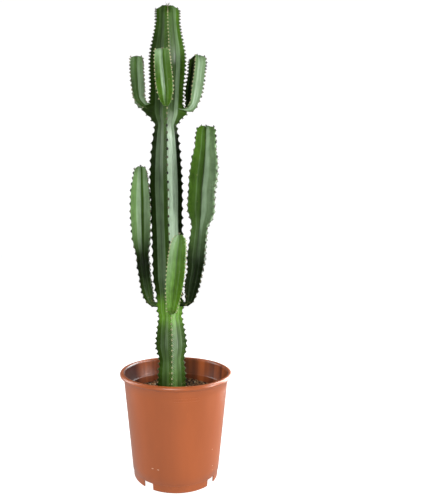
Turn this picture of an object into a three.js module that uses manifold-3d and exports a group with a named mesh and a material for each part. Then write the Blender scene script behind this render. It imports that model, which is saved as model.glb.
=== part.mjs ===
// A tall ribbed succulent with six arms, growing in a round plant pot.
// Millimetres, +Z up. The origin is on the pot's axis, on the surface that the pot stands on.
// The plant's best side, with the front arms, faces -Y.

import * as THREE from 'three';
import { LoftGeometry } from 'three/addons/geometries/LoftGeometry.js';
import { mergeVertices } from 'three/addons/utils/BufferGeometryUtils.js';
import Module from 'manifold-3d';

const wasm = await Module();
wasm.setup();

// ---------------------------------------------------------------- pot sizes

const rimDiameter = 210;            // across the outside of the rolled rim
const potHeight = 190;              // surface to the top of the rim
const rimRollDiameter = 8.4;        // thickness of the rolled rim, seen in section
const rimOverhang = 7.4;            // how far the rim stands out beyond the top of the wall
const wallFootDiameter = 160.4;      // outside of the wall, just above the foot
const wallThickness = 1.9;          // below the stacking ledge
const upperWallThickness = 1.4;     // above the stacking ledge
const ledgeDepth = 32;              // rim top down to the stacking ledge inside
const footHeight = 13;              // height of the foot ring, which lifts the floor
const footStep = 1.2;               // how far the foot ring is set in from the wall
const footDraft = 0.8;              // how much narrower the foot ring is at its bottom
const footThickness = 2.2;
const floorThickness = 2;
const drainHeight = 11.5;           // height of each drain notch in the foot ring
const drainWidth = 20;              // width of each drain notch
const drainReach = 9;               // how far each drain runs in under and through the floor
const drainSlotWidth = 12;          // width of the slot that each drain opens in the floor
const drainAngles = [52.5, 97.5, 142.5, 217.5, 262.5, 322.5]; // degrees round from the front
const potSides = 72;

// --------------------------------------------------------------- soil sizes

const soilDepth = 43;               // rim top down to the soil at the wall
const soilMound = 3;                // how much higher the soil is at the middle
const touchGap = 0.3;               // between pieces that touch

// --------------------------------------------------------------- stem sizes

const footOffset = -7;              // the stem stands this far to one side of the pot's axis
const rootDepth = 58;               // length of stem below the soil
const rootRibRadius = 17;           // rib radius at the buried end
const socketGap = 0.9;              // between the buried stem's ribs and the soil
const valleyShare = 0.63;           // depth of a valley, as a share of the rib radius
const valleyBand = 0.13;            // half width of the flat in a valley, as a share of the same
const ribEdge = 0.06;               // half thickness of a rib's edge, as a share of the same
const ribCount = 4;
const stubLength = 4;               // how far a stub stands out from the rib that bears it
const stubRoot = 12;                // how far a stub reaches back into the rib
const stubFlare = 1.35;             // how much wider a stub is at its root

// Growth of the main stem, from the soil up. Each season's growth has its own length and
// widest rib radius. Its outline is a list of [share of the length, share of the radius].
const seasons = [
  {
    length: 67,
    ribRadius: 27.5,
    outline: [[0, 1], [0.6, 0.94], [0.94, 0.85]],
  },
  {
    length: 80,
    ribRadius: 30,
    outline: [[0.06, 0.86], [0.29, 1], [0.53, 0.92], [0.76, 0.83], [0.92, 0.75], [0.99, 0.71]],
  },
  {
    length: 362,
    ribRadius: 31.5,
    outline: [
      [0.02, 0.78], [0.06, 0.8], [0.1, 0.8], [0.16, 0.87], [0.2, 0.93], [0.39, 0.93],
      [0.54, 0.96],
      [0.66, 1], [0.76, 0.96], [0.86, 0.88], [0.95, 0.76], [0.995, 0.65],
    ],
  },
  {
    length: 225,
    ribRadius: 34.2,
    outline: [
      [0.03, 0.77], [0.08, 0.89], [0.2, 0.945], [0.3, 0.93], [0.45, 0.99], [0.55, 1],
      [0.62, 0.96], [0.68, 0.87], [0.78, 0.73], [0.86, 0.66], [0.94, 0.66], [0.968, 0.65],
      [0.988, 0.54], [0.997, 0.38], [1, 0.16],
    ],
  },
];

// Sideways wander of the main stem's middle line: [share of the height, offset].
const stemWander = [
  [0, 0], [0.12, -1.7], [0.22, -4], [0.3, -7], [0.39, -8.8], [0.53, -11.5], [0.69, -12],
  [0.75, -10.7],
  [0.83, -8.8], [1, -8.5],
];

// The arms. Each grows from the edge of one rib of the main stem.
//   side         which way the bearing rib faces, in degrees round from the front
//   season       the main stem's growth that bears it, counted from 0 at the soil
//   height       of the arm's root above the start of that growth
//   rise         from its root to its tip
//   gap          between the main stem's rib and the arm's valley, where the arm stands upright
//   lean         of the tip to the right of the root, seen from that side
//   ribRadius    widest rib radius
//   turn         of the ribs about the arm, in degrees
//   path         middle line: [share of the way out, share of the lean, share of the rise]
//   outline      [share of the length, share of the rib radius]
const arms = {
  lower_left_arm: {
    side: -90,
    season: 2,
    height: 22,
    rise: 262,
    gap: 3.4,
    lean: 0,
    ribRadius: 25,
    turn: 45,
    path: [
      [0, 0, 0], [0.19, 0, 0.003], [0.37, 0, 0.04], [0.52, 0, 0.098], [0.74, 0, 0.242],
      [0.89, 0, 0.386], [0.97, 0, 0.567], [1, 0, 0.78], [1, 0, 1],
    ],
    outline: [
      [0, 0.2], [0.02, 0.29], [0.045, 0.4], [0.08, 0.51], [0.12, 0.57], [0.19, 0.58],
      [0.26, 0.6], [0.3, 0.67], [0.345, 0.59], [0.37, 0.63], [0.4, 0.69], [0.43, 0.79],
      [0.46, 0.87], [0.5, 0.94], [0.58, 0.96], [0.65, 1], [0.76, 1], [0.8, 0.97],
      [0.85, 0.88], [0.9, 0.77], [0.945, 0.68], [0.967, 0.62], [0.987, 0.44], [1, 0.14],
    ],
  },
  lower_right_arm: {
    side: 90,
    season: 2,
    height: 23,
    rise: 337,
    gap: 23,
    lean: 0,
    ribRadius: 35.6,
    turn: 45,
    path: [
      [0, 0, 0], [0.13, 0, 0.001], [0.24, 0, 0.036], [0.33, 0, 0.098], [0.48, 0, 0.183],
      [0.57, 0, 0.295], [0.68, 0, 0.408], [0.76, 0, 0.512], [0.81, 0, 0.634],
      [0.92, 0, 0.75], [0.97, 0, 0.86], [1, 0, 0.94], [1, 0, 1],
    ],
    outline: [
      [0, 0.14], [0.02, 0.22], [0.045, 0.34], [0.08, 0.45], [0.112, 0.52], [0.14, 0.55],
      [0.197, 0.55], [0.225, 0.59], [0.252, 0.65], [0.29, 0.63], [0.36, 0.59], [0.42, 0.58],
      [0.444, 0.55], [0.471, 0.72], [0.5, 0.86], [0.527, 0.96], [0.582, 0.96],
      [0.638, 0.93], [0.694, 1], [0.723, 1], [0.778, 0.96], [0.806, 0.93], [0.833, 0.86],
      [0.862, 0.76], [0.918, 0.75], [0.944, 0.69], [0.973, 0.62], [0.988, 0.46], [1, 0.12],
    ],
  },
  lower_front_arm: {
    side: 0,
    season: 2,
    height: 12,
    rise: 140,
    gap: 28,
    lean: 18,
    ribRadius: 22,
    turn: 45,
    path: [
      [0, 0, 0], [0.15, 0.05, -0.014], [0.32, 0.2, 0.014], [0.44, 0.33, 0.1],
      [0.56, 0.45, 0.243], [0.69, 0.52, 0.4], [0.79, 0.66, 0.571], [0.87, 0.76, 0.743],
      [0.94, 0.92, 0.886], [1, 1, 1],
    ],
    outline: [
      [0, 0.26], [0.05, 0.36], [0.1, 0.46], [0.16, 0.57], [0.22, 0.67], [0.31, 0.82],
      [0.4, 0.9], [0.5, 0.97], [0.6, 1], [0.7, 0.96], [0.78, 0.92], [0.84, 0.86],
      [0.9, 0.75], [0.95, 0.6], [0.98, 0.42], [1, 0.14],
    ],
  },
  upper_left_arm: {
    side: -90,
    season: 3,
    height: 38,
    rise: 91,
    gap: 14.5,
    lean: 0,
    ribRadius: 16.9,
    turn: 45,
    path: [
      [0, 0, 0], [0.35, 0, -0.016], [0.65, 0, 0.022], [0.79, 0, 0.13], [0.87, 0, 0.31],
      [0.95, 0, 0.56], [1, 0, 0.78], [1, 0, 1],
    ],
    outline: [
      [0, 0.48], [0.07, 0.54], [0.14, 0.64], [0.22, 0.8], [0.31, 0.94], [0.42, 1],
      [0.6, 1], [0.78, 0.98], [0.9, 0.97], [0.945, 0.92], [0.98, 0.7], [1, 0.22],
    ],
  },
  upper_right_arm: {
    side: 90,
    season: 3,
    height: 34,
    rise: 97,
    gap: 16.2,
    lean: 0,
    ribRadius: 17.3,
    turn: -15,
    path: [
      [0, 0, 0], [0.25, 0, -0.02], [0.45, 0, 0.02], [0.57, 0, 0.13], [0.67, 0, 0.31],
      [0.79, 0, 0.51], [0.88, 0, 0.7], [0.95, 0, 0.89], [1, 0, 1],
    ],
    outline: [
      [0, 0.46], [0.07, 0.52], [0.13, 0.62], [0.2, 0.78], [0.29, 0.94], [0.38, 1],
      [0.55, 1], [0.75, 0.97], [0.87, 0.95], [0.935, 0.88], [0.975, 0.64], [1, 0.2],
    ],
  },
  upper_front_arm: {
    side: 0,
    season: 3,
    height: 24,
    rise: 93,
    gap: 14,
    lean: -5.5,
    ribRadius: 21.4,
    turn: 45,
    path: [
      [0, 0, 0], [0.25, 0.1, -0.03], [0.5, 0.4, 0], [0.66, 0.65, 0.1], [0.75, 0.9, 0.28],
      [0.84, 1, 0.48], [0.94, 1, 0.77], [1, 1, 1],
    ],
    outline: [
      [0, 0.34], [0.07, 0.41], [0.15, 0.58], [0.25, 0.79], [0.35, 0.95], [0.42, 1],
      [0.54, 0.99], [0.7, 0.93], [0.82, 0.88], [0.9, 0.84], [0.95, 0.72], [0.982, 0.46],
      [1, 0.15],
    ],
  },
};

// ----------------------------------------------------------- worked-out values

const rimRadius = rimDiameter / 2;
const rollRadius = rimRollDiameter / 2;
const wallTopRadius = rimRadius - rimOverhang;
const wallFootRadius = wallFootDiameter / 2;
const wallTop = potHeight - 1.4 * rimRollDiameter;
const ledgeHeight = potHeight - ledgeDepth;
const floorTop = footHeight + floorThickness;
const footTopRadius = wallFootRadius - footStep;
const footBottomRadius = footTopRadius - footDraft;
const soilLevel = potHeight - soilDepth;
const up = new THREE.Vector3(0, 0, 1);

// ------------------------------------------------------------------- helpers

function toSolid(geometry) {
  const bare = new THREE.BufferGeometry();
  bare.setAttribute('position', geometry.attributes.position);
  bare.setIndex(geometry.index);
  const merged = mergeVertices(bare, 1e-4);
  return new wasm.Manifold(new wasm.Mesh({
    numProp: 3,
    vertProperties: new Float32Array(merged.attributes.position.array),
    triVerts: new Uint32Array(merged.index.array),
  }));
}

function toGeometry(solid) {
  const mesh = solid.getMesh();
  const geometry = new THREE.BufferGeometry();
  geometry.setAttribute('position', new THREE.BufferAttribute(mesh.vertProperties, 3));
  geometry.setIndex(new THREE.BufferAttribute(mesh.triVerts, 1));
  geometry.computeVertexNormals();
  return geometry;
}

function turned(profile) {
  const geometry = new THREE.LatheGeometry(profile, potSides);
  return geometry.rotateX(Math.PI / 2);
}

// Value of a list of [position, value] pairs, straight between its points.
function along(list, position) {
  const next = list.findIndex((pair) => pair[0] >= position);
  if (next === 0) return list[0][1];
  if (next < 0) return list[list.length - 1][1];
  const [from, low] = list[next - 1];
  const [to, high] = list[next];
  return THREE.MathUtils.mapLinear(position, from, to, low, high);
}

// Which way a rib faces, from degrees round from the front, counted towards +X.
function facing(degrees) {
  const angle = THREE.MathUtils.degToRad(degrees);
  return new THREE.Vector3(Math.sin(angle), -Math.cos(angle), 0);
}

// ---------------------------------------------------------- ribbed cross-section

// One rib is its edge and the edge of the valley flat on each side of it.
function ribPoints(ribRadius) {
  const valley = valleyShare * ribRadius;
  const band = valleyBand * ribRadius;
  const edge = ribEdge * ribRadius;
  const half = Math.PI / ribCount;
  const floorAngle = half - Math.atan2(band, valley);
  const floorRadius = Math.hypot(valley, band);
  const floorX = floorRadius * Math.cos(floorAngle);
  const floorY = floorRadius * Math.sin(floorAngle);
  return [[floorX, -floorY], [ribRadius, -edge], [ribRadius, edge], [floorX, floorY]];
}

// A ring of points round centre, square to heading, with its first rib towards first.
function ribbedRing(centre, heading, first, turn, ribRadius) {
  const across = first.clone().addScaledVector(heading, -first.dot(heading)).normalize();
  const third = new THREE.Vector3().crossVectors(heading, across);
  const ring = [];
  for (let rib = 0; rib < ribCount; rib += 1) {
    const angle = THREE.MathUtils.degToRad(turn) + (rib * 2 * Math.PI) / ribCount;
    for (const [x, y] of ribPoints(ribRadius)) {
      const a = x * Math.cos(angle) - y * Math.sin(angle);
      const b = x * Math.sin(angle) + y * Math.cos(angle);
      ring.push(centre.clone().addScaledVector(across, a).addScaledVector(third, b));
    }
  }
  return ring;
}

function loft(rings) {
  return new LoftGeometry(rings, { capStart: true, capEnd: true });
}

// ---------------------------------------------------------------- main stem

// Height above the soil at which a season's growth starts.
function seasonStart(index) {
  return seasons.slice(0, index).reduce((sum, season) => sum + season.length, 0);
}

const stemHeight = seasonStart(seasons.length);
const stemOutline = seasons.flatMap((season, index) => season.outline.map(([share, girth]) => [
  seasonStart(index) + share * season.length,
  girth * season.ribRadius,
]));

const stemPath = new THREE.SplineCurve(
  stemWander.map(([share, offset]) => new THREE.Vector2(share * stemHeight, offset)),
);
const stemLine = stemPath.getPoints(80).map((point) => [point.x, footOffset + point.y]);

function stemCentre(height) {
  return new THREE.Vector3(along(stemLine, height), 0, soilLevel + height);
}

function stemRadius(height) {
  return along(stemOutline, height);
}

function stemRing(height, ribRadius) {
  return ribbedRing(stemCentre(height), up, facing(0), 0, ribRadius);
}

// ---------------------------------------------------------------------- arms

function armPath(arm) {
  const outwards = facing(arm.side);
  const sideways = facing(arm.side + 90);
  const bottom = seasonStart(arm.season) + arm.height;
  const root = stemCentre(bottom);
  root.addScaledVector(outwards, stemRadius(bottom) + stubLength);
  const widest = arm.outline.find((pair) => pair[1] === 1)[0];
  const level = bottom + widest * arm.rise;
  const target = stemCentre(level);
  const clearOut = stemRadius(level) + arm.gap + valleyShare * arm.ribRadius;
  target.addScaledVector(outwards, clearOut);
  const reach = target.clone().sub(root).dot(outwards);
  const points = arm.path.map(([out, across, rise]) => root.clone()
    .addScaledVector(outwards, out * reach)
    .addScaledVector(sideways, across * arm.lean)
    .addScaledVector(up, rise * arm.rise));
  return new THREE.CatmullRomCurve3(points);
}

function armRing(arm, path, share, ribRadius, shift = 0) {
  const heading = path.getTangentAt(share);
  const centre = path.getPointAt(share).addScaledVector(heading, shift);
  return ribbedRing(centre, heading, facing(arm.side + 90), arm.turn, ribRadius);
}

function armGeometry(arm) {
  const path = armPath(arm);
  return loft(arm.outline.map(([share, girth]) => (
    armRing(arm, path, share, girth * arm.ribRadius)
  )));
}

// The short root of an arm, part of the main stem, ending just short of the arm.
function armStub(arm) {
  const path = armPath(arm);
  const neck = arm.outline[0][1] * arm.ribRadius;
  return toSolid(loft([
    armRing(arm, path, 0, neck * stubFlare, -stubLength - stubRoot),
    armRing(arm, path, 0, neck * stubFlare, -stubLength),
    armRing(arm, path, 0, neck, -touchGap),
  ]));
}

function mainStemGeometry() {
  const buried = stemRing(-rootDepth, rootRibRadius);
  const shoot = toSolid(loft([
    buried,
    ...stemOutline.map(([height, ribRadius]) => stemRing(height, ribRadius)),
  ]));
  return toGeometry(Object.values(arms).reduce((solid, arm) => solid.add(armStub(arm)), shoot));
}

// ---------------------------------------------------------------------- soil

// Inside of the pot's wall at a height above the foot.
function innerRadius(height, thickness) {
  const outer = THREE.MathUtils.mapLinear(
    height, footHeight, wallTop, wallFootRadius, wallTopRadius,
  );
  return outer - thickness;
}

function soilGeometry() {
  const bottom = floorTop + touchGap;
  const profile = [
    new THREE.Vector2(0, bottom),
    new THREE.Vector2(innerRadius(bottom, wallThickness) - touchGap, bottom),
    new THREE.Vector2(innerRadius(soilLevel, wallThickness) - touchGap, soilLevel),
    new THREE.Vector2(0.6 * wallFootRadius, soilLevel + 0.6 * soilMound),
    new THREE.Vector2(0, soilLevel + soilMound),
  ];
  const firstRadius = stemRadius(0);
  const socket = toSolid(loft([
    stemRing(-rootDepth - touchGap, rootRibRadius + socketGap),
    stemRing(0, firstRadius + socketGap),
    stemRing(2 * soilMound, firstRadius + socketGap),
  ]));
  return toGeometry(toSolid(turned(profile)).subtract(socket));
}

// ----------------------------------------------------------------------- pot

function potProfile() {
  const points = [
    [0, footHeight],
    [footTopRadius - footThickness, footHeight],
    [footBottomRadius - footThickness, 0],
    [footBottomRadius, 0],
    [footTopRadius, footHeight - footStep],
    [wallFootRadius, footHeight],
    [wallTopRadius, wallTop],
  ];
  const rollCentre = [rimRadius - rollRadius, potHeight - rollRadius];
  const rollStart = -100;
  const rollEnd = 190;
  const rollSteps = 9;
  for (let step = 0; step <= rollSteps; step += 1) {
    const angle = THREE.MathUtils.degToRad(
      THREE.MathUtils.mapLinear(step, 0, rollSteps, rollStart, rollEnd),
    );
    points.push([
      rollCentre[0] + rollRadius * Math.cos(angle),
      rollCentre[1] + rollRadius * Math.sin(angle),
    ]);
  }
  points.push([innerRadius(wallTop, upperWallThickness), wallTop]);
  points.push([innerRadius(ledgeHeight, upperWallThickness), ledgeHeight]);
  points.push([innerRadius(ledgeHeight - 1, wallThickness), ledgeHeight - 1]);
  points.push([innerRadius(floorTop, wallThickness), floorTop]);
  points.push([0, floorTop]);
  return points.map(([radius, height]) => new THREE.Vector2(radius, height));
}

// A drain is a notch under the floor and a narrower slot up through the floor's edge.
function drainCutter(degrees) {
  const notchLength = drainReach + 2 * footStep + footThickness;
  const outEdge = footTopRadius + footStep;
  const notch = new THREE.BoxGeometry(drainWidth, notchLength, 2 * drainHeight);
  notch.translate(0, -(outEdge - notchLength / 2), 0);
  const slotLength = drainReach - footThickness;
  const slotTop = floorTop + 1;
  const slot = new THREE.BoxGeometry(drainSlotWidth, slotLength, slotTop);
  const slotOut = footTopRadius - footThickness - footDraft;
  slot.translate(0, -(slotOut - slotLength / 2), slotTop / 2);
  const cutter = toSolid(notch).add(toSolid(slot));
  return cutter.rotate([0, 0, degrees]);
}

function potGeometry() {
  const shell = toSolid(turned(potProfile()));
  return toGeometry(drainAngles.reduce((solid, angle) => (
    solid.subtract(drainCutter(angle))
  ), shell));
}

// --------------------------------------------------------------------- model

function material(color, roughness) {
  return new THREE.MeshStandardMaterial({ color, roughness, metalness: 0 });
}

const model = new THREE.Group();

function addPiece(name, geometry, finish) {
  const mesh = new THREE.Mesh(geometry, finish);
  mesh.name = name;
  model.add(mesh);
}

addPiece('pot', potGeometry(), material(0xb9683f, 0.45));
addPiece('soil', soilGeometry(), material(0x3b281c, 0.95));
addPiece('main_stem', mainStemGeometry(), material(0x3f5c2c, 0.5));
for (const [name, arm] of Object.entries(arms)) {
  addPiece(name, armGeometry(arm), material(0x557c38, 0.5));
}

export default model;
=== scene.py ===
"""The looks of a potted tall succulent: ribbed stems with paired spines, potting mix and a moulded pot.

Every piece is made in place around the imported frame, in metres. Sizes in the tables are millimetres
unless a name says otherwise.
"""

import math
import random

import bmesh
import bpy
from bpy.props import FloatProperty, FloatVectorProperty, IntProperty, PointerProperty
from mathutils import Matrix, Vector, noise


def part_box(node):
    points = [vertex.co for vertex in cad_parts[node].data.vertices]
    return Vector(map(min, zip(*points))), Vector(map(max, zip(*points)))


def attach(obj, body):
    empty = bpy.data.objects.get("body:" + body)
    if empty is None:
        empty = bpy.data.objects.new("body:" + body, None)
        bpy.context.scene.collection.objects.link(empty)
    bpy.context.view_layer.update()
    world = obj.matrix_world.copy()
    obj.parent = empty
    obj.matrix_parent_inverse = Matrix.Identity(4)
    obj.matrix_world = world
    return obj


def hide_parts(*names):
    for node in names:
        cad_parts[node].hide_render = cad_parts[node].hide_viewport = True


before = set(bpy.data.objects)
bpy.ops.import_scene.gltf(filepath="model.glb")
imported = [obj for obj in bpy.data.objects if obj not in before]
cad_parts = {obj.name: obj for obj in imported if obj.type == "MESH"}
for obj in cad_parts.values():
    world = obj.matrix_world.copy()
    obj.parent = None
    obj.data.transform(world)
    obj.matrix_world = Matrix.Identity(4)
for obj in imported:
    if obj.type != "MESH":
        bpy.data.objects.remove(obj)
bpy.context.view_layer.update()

bl_info = {
    "name": "Potted Tall Succulent",
    "version": (1, 0, 0),
    "blender": (4, 5, 0),
    "location": "3D View > Sidebar > Plant",
    "description": "Builds a ribbed columnar succulent in a moulded nursery pot",
    "category": "Add Mesh",
}

BOX = {name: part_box(name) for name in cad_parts}
MM = 0.001
HAIR = 0.05 * MM             # small enough not to show
UP = Vector((0, 0, 1))
FRONT = Vector((0, -1, 0))

# ------------------------------------------------------------------ growth habit

RIBS = 4

# The edge of a rib, from its crest down one side, as shares of the rib radius:
# (along the rib, across the rib).
CREST = [(1.0, 0.0), (0.993, 0.028), (0.97, 0.05), (0.925, 0.072)]
FLANK_STEPS = 4             # points from the edge to the shoulder above the valley
SHOULDER_SHARE = 0.56       # where the shoulder lies, as a share of the way to the valley
VALLEY_STEPS = 5            # points from the shoulder down to the middle of the valley

# How each stem grows. Lists are (share of the stem's length, value).
#   bearing   which way it leaves the main stem, None for the main stem itself
#   lift      how far above its lowest point a front arm shows, in millimetres
#   aside     how far its root lies to the right, in millimetres
#   turn      of its ribs, in degrees
#   shoulder  the fold between a flank and the valley, as shares of the rib radius: (out along the
#             diagonal between two ribs, away from that diagonal)
#   hollow    how far a flank curves in, as a share of the same
#   groove    depth of the crease in a valley, as a share of the same
#   web       how far the side ribs reach out further, where they run into an arm, in millimetres
#   crown     how the front rib falls back at the tip, as shares of its girth
#   spacing   between pairs of spines along a crest, in millimetres
#   youth     0 for old, dull, dark skin and 1 for this year's light skin
#   thorns    youth of the spines, which stay pale for longer than the skin
#   pale_ribs ribs whose spines stay pale, the others are dry and dark
#   faces     for a (rib, face) the list (share of the length, tone, wax and sheen). Tone is
#             painted light and shade: the skin is darker on faces that the arms and the main stem
#             shade, and lighter where light falls. Wax and sheen is how much pale colour is mixed
#             in: partly powdery wax, partly painted sheen where light catches the face.
# Faces are counted across a rib: 0 flank, 1 valley wall, then past the crest 2 valley wall, 3 flank.
PLAIN_FACE = [(0, 0.8, 0.15)]
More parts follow.
